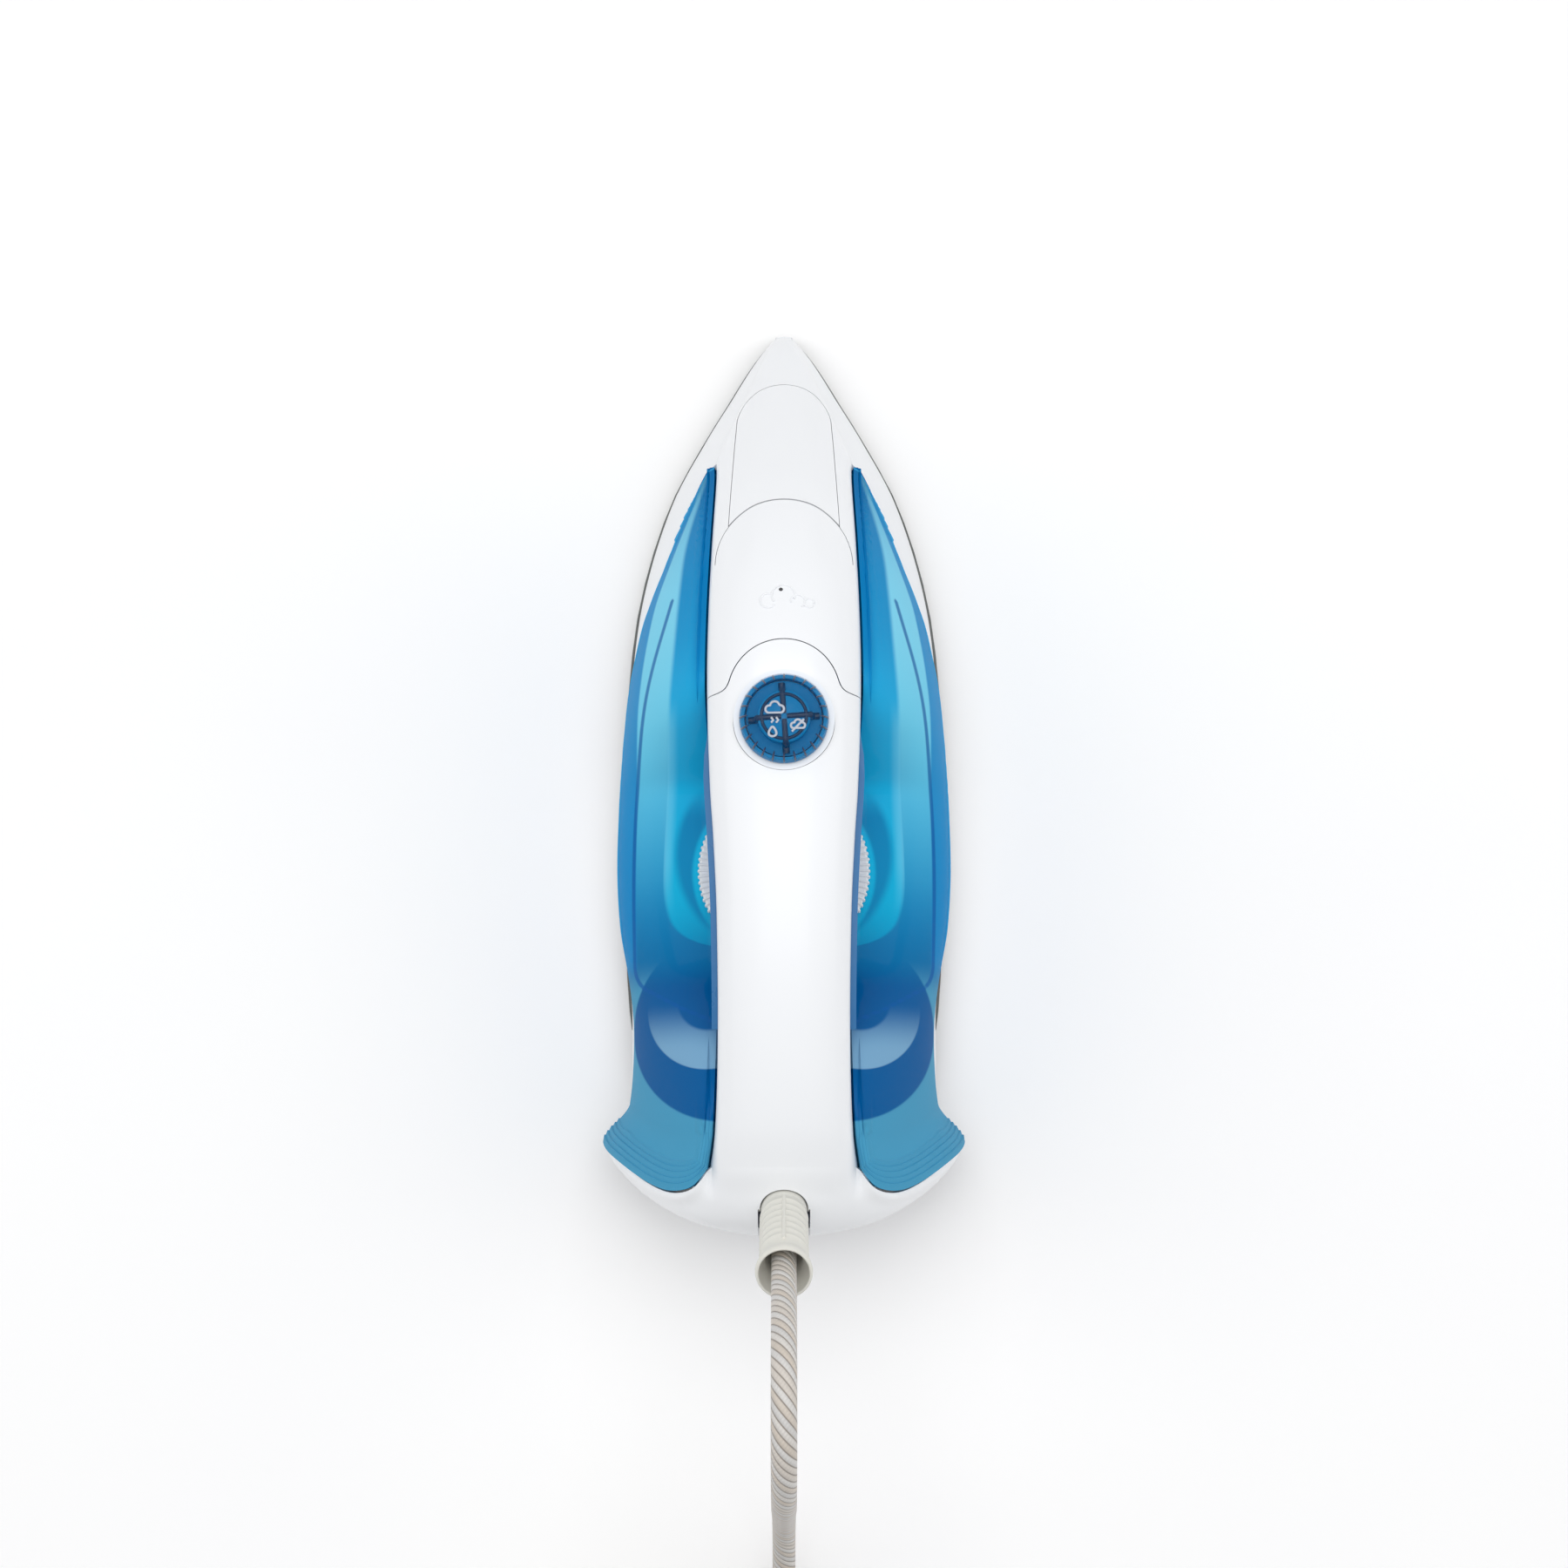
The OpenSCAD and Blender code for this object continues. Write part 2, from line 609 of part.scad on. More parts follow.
pump_y = 44;
module steam_button() {
    color("#f1f4f7")
    intersection() {
        crown_sheet(74, 7, 4);
        upright() button_plan();
    }
}
module pump_body() {
    color("#dfe3e6")
    translate([0, pump_y, 0]) difference() {
        union() {
            translate([0, 0, 74]) cylinder(r = 7, h = 14);
            translate([0, 0, 66]) cylinder(r = 3.6, h = 9);
        }
        translate([0, 0, 76]) cylinder(r = 5, h = 14);
        translate([0, 0, 60]) cylinder(r = 1.2, h = 20, $fn = 24);
    }
}
piston_foot = 83;
module pump_piston() {
    color("#4a4d50")
    translate([0, pump_y, piston_foot]) {
        cylinder(r = 4.95, h = 4);
        cylinder(r = 2, h = 23);
        translate([0, 0, 18]) cylinder(r = 6.4, h = 1.5);
    }
}
module pump_spring() {
    color("#c9cccf") translate([0, pump_y, 88.2]) coil_spring(5.7, 0.5, 12.6, 5);
}
module pump_tube() {
    color("#e8e4da")
    translate([0, pump_y, floor_z + 2.2]) difference() {
        cylinder(r = 2, h = 38.6);
        translate([0, 0, -1]) cylinder(r = 1.2, h = 42, $fn = 24);
    }
}

// ---- Temperature dial ------------------------------------------------------------------

module temperature_dial() {
    color("#e9ecef")
    translate([0, knob_y, knob_z]) difference() {
        union() {
            cylinder(r = knob_r - 0.5, h = knob_h, $fn = 144);
            for (i = [0:knob_knurls - 1])
                rotate([0, 0, 360 * i / knob_knurls])
                    translate([knob_r - 1, -0.35, 0]) cube([1, 0.7, knob_h - 0.8]);
        }
        translate([0, 0, knob_h - 1.2]) cylinder(r = knob_r - 7, h = 3, $fn = 96);
    }
}
module dial_pointer() {
    color("#f5f6f7")
    translate([0, knob_y - knob_r - 3.6, saddle_z + 0.5]) rotate([0, 0, 45])
        cube([2.4, 2.4, 1.4]);
}

// ---- Heel ------------------------------------------------------------------------------

// Opening round the sleeve, with a slot behind it for its swing
module notch() {
    slot_half = sleeve_r + 0.9;
    along_sleeve() {
        cylinder(r = sleeve_r + 0.4, h = 40);
        translate([-slot_half, -40, 0]) cube([2 * slot_half, 40, 40]);
    }
}
function heel_edge() = mirrored(concat(
    [for (j = [6:-1:1]) crown(-123.4, j / 6)],
    [for (j = [flank_steps:-1:0]) let (p = flank(tank_rear_y, j / flank_steps))
        [p[0] - 1.4 * (1 - j / flank_steps), p[1] - gap - 0.3, p[2] - 0.9]]
));
heel_low = 17;
function heel_plane(z) = heel_y + (80 - min(z, 80)) * 0.2;
function heel_row(edge, r) =
    let (
        narrow = max(0.01, pow(cos(90 * r), 0.9)),
        squat = max(0.01, pow(cos(90 * r), 0.35)),
        e = pow(sin(90 * r), 0.9)
    )
    [for (p = edge)
        let (
            z = heel_low + (p[2] - heel_low) * squat,
            back = mix(p[1], heel_plane(z), e),
            // The top leaves the handle at the handle's own slope
            fall = 0.5 * (p[1] - back) * (1 - e) * ramp(80, 90, p[2])
        )
        [p[0] * narrow, back, z - fall]];
module heel_cover() {
    edge = heel_edge();
    rows = [for (r = [0, 0.08, 0.18, 0.3, 0.42, 0.55, 0.7, 0.84, 0.95, 1]) heel_row(edge, r)];
    color("#eef1f4")
    difference() {
        between(rows, inset(rows, -wall));
        notch();
        for (side = [-1, 1])
            translate([side * 26, -120, 30]) rotate([90, 0, 0]) cylinder(d = 3.2, h = 40, $fn = 24);
    }
}
module heel_feet() {
    color("#55585c")
    for (side = [-1, 1])
        translate([side * 16, heel_plane(26) - 0.1, 26]) rotate([101, 0, 0]) cylinder(r = 4, h = 1.6);
}
module rear_floor() {
    steps = 9;
    half = [for (i = [0:steps]) let (a = 90 * i / steps)
        [50 * pow(cos(a), 0.8), -112 - 15.5 * pow(sin(a), 0.8)]];
    color("#e4e7ea")
    translate([0, 0, heel_low - 2.4]) linear_extrude(2)
        polygon(concat(
            [[-44, -98], [44, -98]],
            half,
            [for (i = [steps - 1:-1:0]) [-half[i][0], half[i][1]]]
        ));
}
module heel_screws() {
    color("#c8cacc")
    for (side = [-1, 1])
        translate([side * 26, -121, 30]) rotate([90, 0, 0]) cylinder(d = 3, h = 10, $fn = 24);
}

// ---- Cord exit -------------------------------------------------------------------------

pivot_y = -131;
pivot_z = 81;
sleeve_r = 6.6;
mouth_r = 8;
module along_sleeve() {
    translate([0, pivot_y, pivot_z]) rotate([sleeve_lean, 0, 0]) children();
}
module cord_sleeve() {
    color("#e6e4dc")
    along_sleeve() difference() {
        union() {
            rotate_extrude($fn = 64) polygon([
                [0, -3], [5.4, -3], [sleeve_r - 0.3, 4], [sleeve_r, 12], [sleeve_r - 0.1, sleeve_len - 9],
                [mouth_r, sleeve_len - 2], [mouth_r, sleeve_len], [0, sleeve_len]
            ]);
            for (i = [0:3])
                translate([0, 0, 17 + 5.4 * i]) cylinder(r = sleeve_r + 0.4, h = 1.6);
            translate([0, 0, -1]) rotate([0, 90, 0]) cylinder(r = 5.2, h = 15, center = true);
        }
        translate([0, 0, 10]) cylinder(r = sleeve_r - 1.4, h = sleeve_len, $fn = 64);
        translate([0, 0, sleeve_len - 5]) cylinder(r = mouth_r - 1.1, h = 9, $fn = 64);
        translate([0, 0, -8]) cylinder(r = 2.2, h = 40, $fn = 32);
        rotate([0, 90, 0]) cylinder(r = 2.05, h = 30, center = true, $fn = 32);
    }
}
module sleeve_pivot() {
    color("#b9bcbf")
    for (side = [-1, 1])
        translate([side * 3, pivot_y, pivot_z]) rotate([0, 90 * side, 0]) {
            cylinder(r = 2, h = 5.4, $fn = 32);
            translate([0, 0, 5]) cylinder(r = 3.4, h = 2);
        }
}
module terminal_block() {
    color("#d9d4c4")
    translate([-12, -116, 50]) cube([24, 9, 14]);
}
module lead_wires() {
    color("#b5452f")
    for (side = [-1, 1])
        translate([side * 8, -111, 20.5]) cylinder(r = 1.3, h = 29, $fn = 24);
}
module indicator_lamp() {
    color("#e8a33a")
    translate([0, -100, saddle_z + 22]) cylinder(r = 2.5, h = 6, $fn = 32);
}

// ---- Cord ------------------------------------------------------------------------------

cord_r = cord_d / 2;
coil_mean_r = coil_mean_d / 2;
turn_gap = 7.2;
coil_z0 = 1;
coil_y = -306;
coil_layers = 2;
coil_w = (coil_turns / coil_layers - 1) * turn_gap + cord_d;
coil_h = (coil_layers - 1) * turn_gap + cord_d;
// The cord comes onto the middle of the coil's outermost turn
coil_outer = coil_mean_r + (coil_w - cord_d) / 2;
// Route of the free stretch, from inside the sleeve's mouth to the coil
route = [
    [0, -147, 114], [0, -150, 120], [0, -154, 128], [0, -158, 136], [0, -163, 145],
    [0, -169, 153], [0, -177, 159], [0, -186, 161], [0, -195, 159], [0, -203, 153],
    [0, -209, 144], [0, -213, 133], [0, -216, 120], [0, -218, 105], [0, -220, 90],
    [0, -222, 75], [0, -224, 60], [0, -227, 46], [0, -232, 32], [0, -240, 20],
    [0, -250, 11], [0, -262, 6], [0, -274, 4.6], [0, -282, 4.5]
];
module cord() {
    sides = 10;
    n = len(route);
    color("#d7d4cc") polyhedron(
        points = [for (i = [0:n - 1])
            let (d = unit(route[min(n - 1, i + 1)] - route[max(0, i - 1)]), up = [0, -d[2], d[1]])
            for (k = [0:sides - 1])
                route[i] + cord_r * (cos(360 * k / sides) * [1, 0, 0] + sin(360 * k / sides) * up)],
        faces = concat(
            [for (i = [0:n - 2], k = [0:sides - 1]) each quad(i * sides + k, i * sides + (k + 1) % sides,
                (i + 1) * sides + (k + 1) % sides, (i + 1) * sides + k)],
            [[for (k = [sides - 1:-1:0]) k]],
            [[for (k = [0:sides - 1]) (n - 1) * sides + k]]
        )
    );
}
coil_x = -coil_outer;
module cord_coil() {
    color("#d7d4cc")
    translate([coil_x, coil_y, coil_z0]) rotate_extrude($fn = 96)
        translate([coil_mean_r - coil_w / 2, 0]) square([coil_w, coil_h]);
}
tie_wall = 0.8;
module cord_tie() {
    w = coil_w + 0.6;
    h = coil_h + 0.4;
    color("#3b3e42")
    translate([coil_x - coil_mean_r, coil_y, coil_z0 - 0.2]) difference() {
        translate([-w / 2 - tie_wall, -4, -tie_wall + 0.05]) cube([w + 2 * tie_wall, 8, h + 2 * tie_wall]);
        translate([-w / 2, -10, 0]) cube([w, 20, h]);
    }
}
plug_y = coil_y - 24;
plug_z = 12;
module plug_body() {
    color("#2f3236")
    translate([0, plug_y, plug_z]) rotate([90, 0, 0]) {
        cylinder(r1 = 4.6, r2 = 6.4, h = 14);
        translate([0, 0, 14]) cylinder(r1 = 9, r2 = 11.6, h = 12);
        translate([0, 0, 26]) cylinder(r = 11.6, h = 9);
    }
}
module plug_pins() {
    color("#d2d4d6")
    for (side = [-1, 1])
        translate([side * 9.5, plug_y - 35, plug_z]) rotate([90, 0, 0])
            cylinder(d = 4.8, h = 19, $fn = 32);
}

sole_sheet();
soleplate_casting();
heating_element();
element_terminals();
steam_chamber_cover();
thermostat_base();
thermostat_bimetal();
thermostat_spindle();
thermal_fuse();
heat_shield();
sole_screws();
skirt();
nose_cover();
tank_shell();
tank_base();
valve_seat();
valve_rod();
valve_spring();
handle_cover();
handle_underside();
fill_lid();
rear_floor();
fill_funnel();
steam_button();
pump_body();
pump_piston();
pump_spring();
pump_tube();
steam_dial();
dial_insert();
dial_icons();
dial_shaft();
dial_collar();
temperature_dial();
dial_pointer();
heel_cover();
heel_feet();
heel_screws();
cord_sleeve();
sleeve_pivot();
terminal_block();
lead_wires();
indicator_lamp();
cord();
cord_coil();
cord_tie();
plug_body();
plug_pins();
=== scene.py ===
"""Looks of the steam iron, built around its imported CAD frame.

Lengths in this script are millimetres until new_object() turns them into metres.
+Y runs to the tip of the sole, +Z is up and the sole rests on z = 0.
"""

import math

import bmesh
import bpy
import numpy as np
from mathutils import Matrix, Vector


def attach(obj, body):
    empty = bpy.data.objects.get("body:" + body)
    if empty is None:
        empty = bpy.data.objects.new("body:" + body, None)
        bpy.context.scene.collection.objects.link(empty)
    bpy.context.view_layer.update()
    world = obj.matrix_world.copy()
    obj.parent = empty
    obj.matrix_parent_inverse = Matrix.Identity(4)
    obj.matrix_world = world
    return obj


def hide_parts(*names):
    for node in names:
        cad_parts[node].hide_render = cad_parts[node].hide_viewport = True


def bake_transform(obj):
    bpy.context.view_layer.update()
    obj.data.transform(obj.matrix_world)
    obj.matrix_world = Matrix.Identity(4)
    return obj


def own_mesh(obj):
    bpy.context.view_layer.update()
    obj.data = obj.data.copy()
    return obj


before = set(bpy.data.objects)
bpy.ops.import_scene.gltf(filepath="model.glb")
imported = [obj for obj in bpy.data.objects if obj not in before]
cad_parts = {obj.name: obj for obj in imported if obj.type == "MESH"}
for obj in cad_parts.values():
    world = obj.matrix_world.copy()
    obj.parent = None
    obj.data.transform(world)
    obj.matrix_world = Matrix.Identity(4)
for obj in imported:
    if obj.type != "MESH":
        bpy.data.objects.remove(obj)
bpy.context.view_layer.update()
MM = 0.001

# ---- Camera ------------------------------------------------------------------------------

ELEVATION = math.radians(83.0)
DISTANCE = 1000.0
TARGET = (0.0, -1.4, 0.0)

camera_data = bpy.data.cameras.new("camera")
camera_data.lens = 71.84
camera_data.sensor_width = 36.0
camera_data.clip_start = 0.05
camera_data.clip_end = 20.0
camera = bpy.data.objects.new("camera", camera_data)
bpy.context.scene.collection.objects.link(camera)
camera.location = (
    TARGET[0] * MM,
    (TARGET[1] - math.cos(ELEVATION) * DISTANCE) * MM,
    (TARGET[2] + math.sin(ELEVATION) * DISTANCE) * MM,
)
camera.rotation_euler = (math.pi / 2 - ELEVATION, 0.0, 0.0)
bpy.context.scene.camera = camera

# ---- Mesh helpers --------------------------------------------------------------------------


def new_object(name, verts, faces, material, body="root", slot=None, replaces=(), sharp=32.0, fields=()):
    """A mesh piece from millimetre points, smooth apart from edges sharper than `sharp` degrees.

    fields holds (name, one number per point) pairs that its material can read."""
    mesh = bpy.data.meshes.new(name)
    mesh.from_pydata([tuple(float(c) * MM for c in v) for v in verts], [], [tuple(f) for f in faces])
    for field, values in fields:
        mesh.attributes.new(field, "FLOAT", "POINT").data.foreach_set("value", np.asarray(values, np.float32))
    tidy_mesh(mesh, sharp)
    mesh.materials.append(material)
    obj = bpy.data.objects.new(name, mesh)
    bpy.context.scene.collection.objects.link(obj)
    if body:
        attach(obj, body)
    if replaces:
        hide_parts(*replaces)
    return obj


def tidy_mesh(mesh, sharp=32.0):
    """Outward normals, smooth faces and sharp edges where the surface turns a corner."""
    bm = bmesh.new()
    bm.from_mesh(mesh)
    bmesh.ops.remove_doubles(bm, verts=bm.verts, dist=1e-6)
    bmesh.ops.recalc_face_normals(bm, faces=bm.faces)
    limit = math.radians(sharp)
    for face in bm.faces:
        face.smooth = True
    for edge in bm.edges:
        edge.smooth = len(edge.link_faces) != 2 or edge.calc_face_angle(0.0) < limit
    bm.to_mesh(mesh)
    bm.free()


def grid_faces(n, m, wrap=False):
    """Quads of an n by m grid of points, whose columns may close into a ring."""
    cols = m if wrap else m - 1
    return [
        (i * m + j, i * m + (j + 1) % m, (i + 1) * m + (j + 1) % m, (i + 1) * m + j)
        for i in range(n - 1)
        for j in range(cols)
    ]


def grid_normals(grid):
    """Unit normals of a grid of points, from its own rows and columns."""
    along = np.gradient(grid, axis=0)
    across = np.gradient(grid, axis=1)
    normal = np.cross(along, across)
    length = np.linalg.norm(normal, axis=2, keepdims=True)
    return normal / np.maximum(length, 1e-9)


def shell(grid, thickness):
    """Points and faces of a closed sheet: the grid, and its copy moved by `thickness` along the normals."""
    n, m, _ = grid.shape
    other = grid + thickness * grid_normals(grid)
    verts = np.concatenate([grid.reshape(-1, 3), other.reshape(-1, 3)])
    k = n * m
    skin = grid_faces(n, m)
    lining = [tuple(k + v for v in reversed(f)) for f in skin]
    rim = []
    loop = [j for j in range(m)]
    loop += [i * m + m - 1 for i in range(1, n)]
    loop += [(n - 1) * m + j for j in range(m - 2, -1, -1)]
    loop += [i * m for i in range(n - 2, 0, -1)]
    for a, b in zip(loop, loop[1:] + loop[:1]):
        rim.append((b, a, a + k, b + k))
    return verts, skin + lining + rim


def lathe(profile, segments, centre=(0, 0, 0)):
    """Points and faces of a closed turned form. The profile runs from axis to axis as (radius, height)."""
    verts, faces, rings = [], [], []
    for r, z in profile:
        if r < 1e-6:
            rings.append([len(verts)])
            verts.append((centre[0], centre[1], centre[2] + z))
            continue
        rings.append(list(range(len(verts), len(verts) + segments)))
        for i in range(segments):
            a = 2 * math.pi * i / segments
            verts.append((centre[0] + r * math.cos(a), centre[1] + r * math.sin(a), centre[2] + z))
    for a, b in zip(rings, rings[1:]):
        for i in range(segments):
            j = (i + 1) % segments
            if len(a) == 1 and len(b) > 1:
                faces.append((a[0], b[i], b[j]))
            elif len(b) == 1 and len(a) > 1:
                faces.append((a[i], b[0], a[j]))
            elif len(a) > 1:
                faces.append((a[i], b[i], b[j], a[j]))
    return verts, faces


def frames_along(path):
    """Tangent and two side directions at each point of a path, carried along without twist."""
    path = np.asarray(path, float)
    tangent = np.gradient(path, axis=0)
    tangent /= np.linalg.norm(tangent, axis=1, keepdims=True)
    side = np.zeros_like(path)
    first = np.cross(tangent[0], (1.0, 0.0, 0.0))
    if np.linalg.norm(first) < 0.1:
        first = np.cross(tangent[0], (0.0, 0.0, 1.0))
    side[0] = first / np.linalg.norm(first)
    for i in range(1, len(path)):
        v = side[i - 1] - tangent[i] * np.dot(side[i - 1], tangent[i])
        side[i] = v / np.linalg.norm(v)
    return path, side, np.cross(tangent, side)


def tube(path, radius, sides, closed=False):
    """Points and faces of a round tube along a path. The radius is one number or one per point."""
    path, a, b = frames_along(path)
    radius = np.broadcast_to(np.asarray(radius, float), (len(path),))
    verts = []
    for p, r, u, v in zip(path, radius, a, b):
        for k in range(sides):
            t = 2 * math.pi * k / sides
            verts.append(p + r * (math.cos(t) * u + math.sin(t) * v))
    faces = grid_faces(len(path), sides, wrap=True)
    if closed:
        last = (len(path) - 1) * sides
        faces += [(last + k, last + (k + 1) % sides, (k + 1) % sides, k) for k in range(sides)]
    else:
        faces.append(tuple(range(sides))[::-1])
        faces.append(tuple((len(path) - 1) * sides + k for k in range(sides)))
    return verts, faces


def join(*parts):
    """Several (points, faces) parts as one."""
    verts, faces = [], []
    for v, f in parts:
        k = len(verts)
        verts += [tuple(p) for p in v]
        faces += [tuple(i + k for i in face) for face in f]
    return verts, faces


def resample(path, step):
    """The path's points moved to equal steps along it."""
    path = np.asarray(path, float)
    s = np.concatenate([[0], np.cumsum(np.linalg.norm(np.diff(path, axis=0), axis=1))])
    n = max(2, int(round(s[-1] / step)) + 1)
    q = np.linspace(0, s[-1], n)
    return np.stack([np.interp(q, s, path[:, k]) for k in range(3)], axis=1)


def relax(path, rounds):
    """The path smoothed, with its ends held."""
    path = np.array(path, float)
    for _ in range(rounds):
        path[1:-1] = 0.5 * path[1:-1] + 0.25 * (path[:-2] + path[2:])
    return path


def slab(outline, low, high):
    """Points and faces of an upright prism over a plan outline."""
    n = len(outline)
    verts = [(x, y, low) for x, y in outline] + [(x, y, high) for x, y in outline]
    faces = [(i, (i + 1) % n, n + (i + 1) % n, n + i) for i in range(n)]
    return verts, faces + [tuple(range(n))[::-1], tuple(range(n, 2 * n))]


def carve(obj, part, operation="DIFFERENCE"):
    """Cuts a (points, faces) part out of obj, or keeps only what lies inside it, and applies the result."""
    mesh = bpy.data.meshes.new("cutter")
    mesh.from_pydata([tuple(float(c) * MM for c in v) for v in part[0]], [], part[1])
    tidy_mesh(mesh)
    cutter = bpy.data.objects.new("cutter", mesh)
    bpy.context.scene.collection.objects.link(cutter)
    modifier = obj.modifiers.new("cut", "BOOLEAN")
    modifier.operation = operation
    modifier.solver = "EXACT"
    modifier.object = cutter
    depsgraph = bpy.context.evaluated_depsgraph_get()
    cut = bpy.data.meshes.new_from_object(obj.evaluated_get(depsgraph), depsgraph=depsgraph)
    obj.modifiers.clear()
    old = obj.data
    obj.data = cut
    cut.name = obj.name
    tidy_mesh(cut)
    bpy.data.meshes.remove(old)
    bpy.data.objects.remove(cutter)
    bpy.data.meshes.remove(mesh)


# ---- Material helpers ------------------------------------------------------------------------

GRAIN = 900.0


def linear(r, g, b):
    """An 8-bit screen colour as the linear colour that the shader takes."""
    channels = (r / 255, g / 255, b / 255)
    return tuple(c / 12.92 if c <= 0.04045 else ((c + 0.055) / 1.055) ** 2.4 for c in channels) + (1.0,)


class Paint:
    """A node material around one Principled shader."""

    def __init__(self, name, **sockets):
        self.material = bpy.data.materials.new(name)
        self.material.use_nodes = True
        self.tree = self.material.node_tree
        self.tree.nodes.clear()
        self.out = self.add("ShaderNodeOutputMaterial")
        self.shader = self.add("ShaderNodeBsdfPrincipled")
        self.link(self.shader.outputs["BSDF"], self.out.inputs["Surface"])
        for key, value in sockets.items():
            self.shader.inputs[key.replace("_", " ")].default_value = value

    def add(self, kind, **settings):
        node = self.tree.nodes.new(kind)
        for key, value in settings.items():
            setattr(node, key, value)
        return node

    def link(self, a, b):
        self.tree.links.new(a, b)

    def coordinates(self, scale):
        where = self.add("ShaderNodeTexCoord")
        mapping = self.add("ShaderNodeMapping")
        mapping.inputs["Scale"].default_value = scale
        self.link(where.outputs["Object"], mapping.inputs["Vector"])
        return mapping.outputs["Vector"]

    def noise(self, scale, detail=3.0, stretch=(1, 1, 1)):
        node = self.add("ShaderNodeTexNoise")
        node.inputs["Scale"].default_value = scale
        node.inputs["Detail"].default_value = detail
        self.link(self.coordinates(stretch), node.inputs["Vector"])
        return node.outputs["Fac"]

    def attribute(self, name):
        return self.add("ShaderNodeAttribute", attribute_name=name).outputs["Fac"]

    def plan(self):
        """Distance from the middle plane and place along the body, in metres, as a vector."""
        split = self.add("ShaderNodeSeparateXYZ")
        self.link(self.add("ShaderNodeTexCoord").outputs["Object"], split.inputs["Vector"])
        join_xy = self.add("ShaderNodeCombineXYZ")
        self.link(self.math("ABSOLUTE", split.outputs["X"]), join_xy.inputs["X"])
        self.link(split.outputs["Y"], join_xy.inputs["Y"])
        return join_xy.outputs["Vector"], split.outputs["Y"]

    def inside(self, plan, x, y, radius, soft=0.4):
        """1 inside a circle in plan, 0 outside it, with a soft edge. Millimetres."""
        node = self.add("ShaderNodeVectorMath", operation="DISTANCE")
        self.link(plan, node.inputs[0])
        node.inputs[1].default_value = (x * MM, y * MM, 0.0)
        return self.between(node.outputs["Value"], (radius - soft) * MM, (radius + soft) * MM, 1.0, 0.0)

    def between(self, value, low, high, to_low=0.0, to_high=1.0, smooth=True):
        node = self.add("ShaderNodeMapRange")
        node.interpolation_type = "SMOOTHSTEP" if smooth else "LINEAR"
        node.inputs["From Min"].default_value = low
        node.inputs["From Max"].default_value = high
        node.inputs["To Min"].default_value = to_low
        node.inputs["To Max"].default_value = to_high
        self.link(value, node.inputs["Value"])
        return node.outputs["Result"]

    def math(self, operation, a, b=None):
        node = self.add("ShaderNodeMath", operation=operation)
        for i, v in enumerate((a, b)):
            if v is None:
                continue
            if isinstance(v, (int, float)):
                node.inputs[i].default_value = v
            else:
                self.link(v, node.inputs[i])
        return node.outputs["Value"]

    def mix(self, fac, a, b):
        node = self.add("ShaderNodeMix", data_type="RGBA")
        for index, v in ((0, fac), (6, a), (7, b)):
            if isinstance(v, (int, float, tuple)):
                node.inputs[index].default_value = v
            else:
                self.link(v, node.inputs[index])
        return node.outputs[2]

    def ramp(self, value, stops):
        node = self.add("ShaderNodeValToRGB")
        ramp = node.color_ramp
        ramp.interpolation = "B_SPLINE"
        while len(ramp.elements) < len(stops):
            ramp.elements.new(0.5)
        for element, (place, colour) in zip(ramp.elements, stops):
            element.position = place
            element.color = colour
        self.link(value, node.inputs["Fac"])
        return node.outputs["Color"]

    def colour(self, socket):
        self.link(socket, self.shader.inputs["Base Color"])

    def roughness(self, low, high, scale=60.0, stretch=(1, 1, 1)):
        uneven = self.between(self.noise(scale, stretch=stretch), 0.3, 0.7, low, high)
        self.link(uneven, self.shader.inputs["Roughness"])

    def bump(self, height, distance, strength):
        node = self.add("ShaderNodeBump")
        node.inputs["Strength"].default_value = strength
        node.inputs["Distance"].default_value = distance
        self.link(height, node.inputs["Height"])
        self.link(node.outputs["Normal"], self.shader.inputs["Normal"])


def moulded(name, colour, shade, rough, bump=0.00002, **sockets):
    """Moulded plastic: a slight cloudiness in its colour, an uneven gloss and a fine skin."""
    paint = Paint(name, **sockets)
    darker = tuple(c * shade for c in colour[:3]) + (1.0,)
    paint.colour(paint.mix(paint.between(paint.noise(9.0, 1.0), 0.2, 0.8), colour, darker))
    paint.roughness(*rough)
    paint.bump(paint.noise(GRAIN, 2.0), bump, 0.15)
    return paint.material


def metal(name, colour, rough=(0.25, 0.4), stretch=(6, 1, 1), scale=250.0):
    """Worked metal: streaks along one direction in its colour, gloss and skin."""
    paint = Paint(name, Metallic=1.0)
    darker = tuple(c * 0.8 for c in colour[:3]) + (1.0,)
    streaks = paint.noise(scale, 4.0, stretch)
    paint.colour(paint.mix(paint.between(streaks, 0.35, 0.65), darker, colour))
    paint.roughness(rough[0], rough[1], scale, stretch)
    paint.bump(streaks, 0.00003, 0.2)
    return paint.material

# ---- Rails of the body, as in the CAD source ---------------------------------------------------

SOLE = [[0, 0], [2.4, 7.6], [4.5, 17], [6, 26.5], [7.5, 37], [9.3, 46], [10.7, 49.6], [12, 50.6],
        [14, 50.2], [14.8, 48.8]]
TOP = [[-126, 96], [-112, 104], [-90, 111], [-60, 117], [-30, 120], [5, 119.5], [25, 116.5], [43, 110],
       [60, 101], [75, 90], [92, 71], [108, 53], [124, 35], [134, 24], [141, 14], [144, 9]]
TANK_HALF = [[-115, 49.5], [-107, 48.2], [-96, 46.8], [-80, 46.4], [-64, 48], [-50, 50], [-33, 51],
             [-13, 50.6], [0, 50], [15, 49], [26, 47.8], [35, 46], [47, 43], [62, 37], [74, 31.8],
             [85, 26.6], [92, 22.6]]
TANK_LOW = [[-115, 18], [-64, 20], [-20, 22], [26, 22], [47, 25], [62, 29], [74, 34], [85, 40],
            [92, 47]]
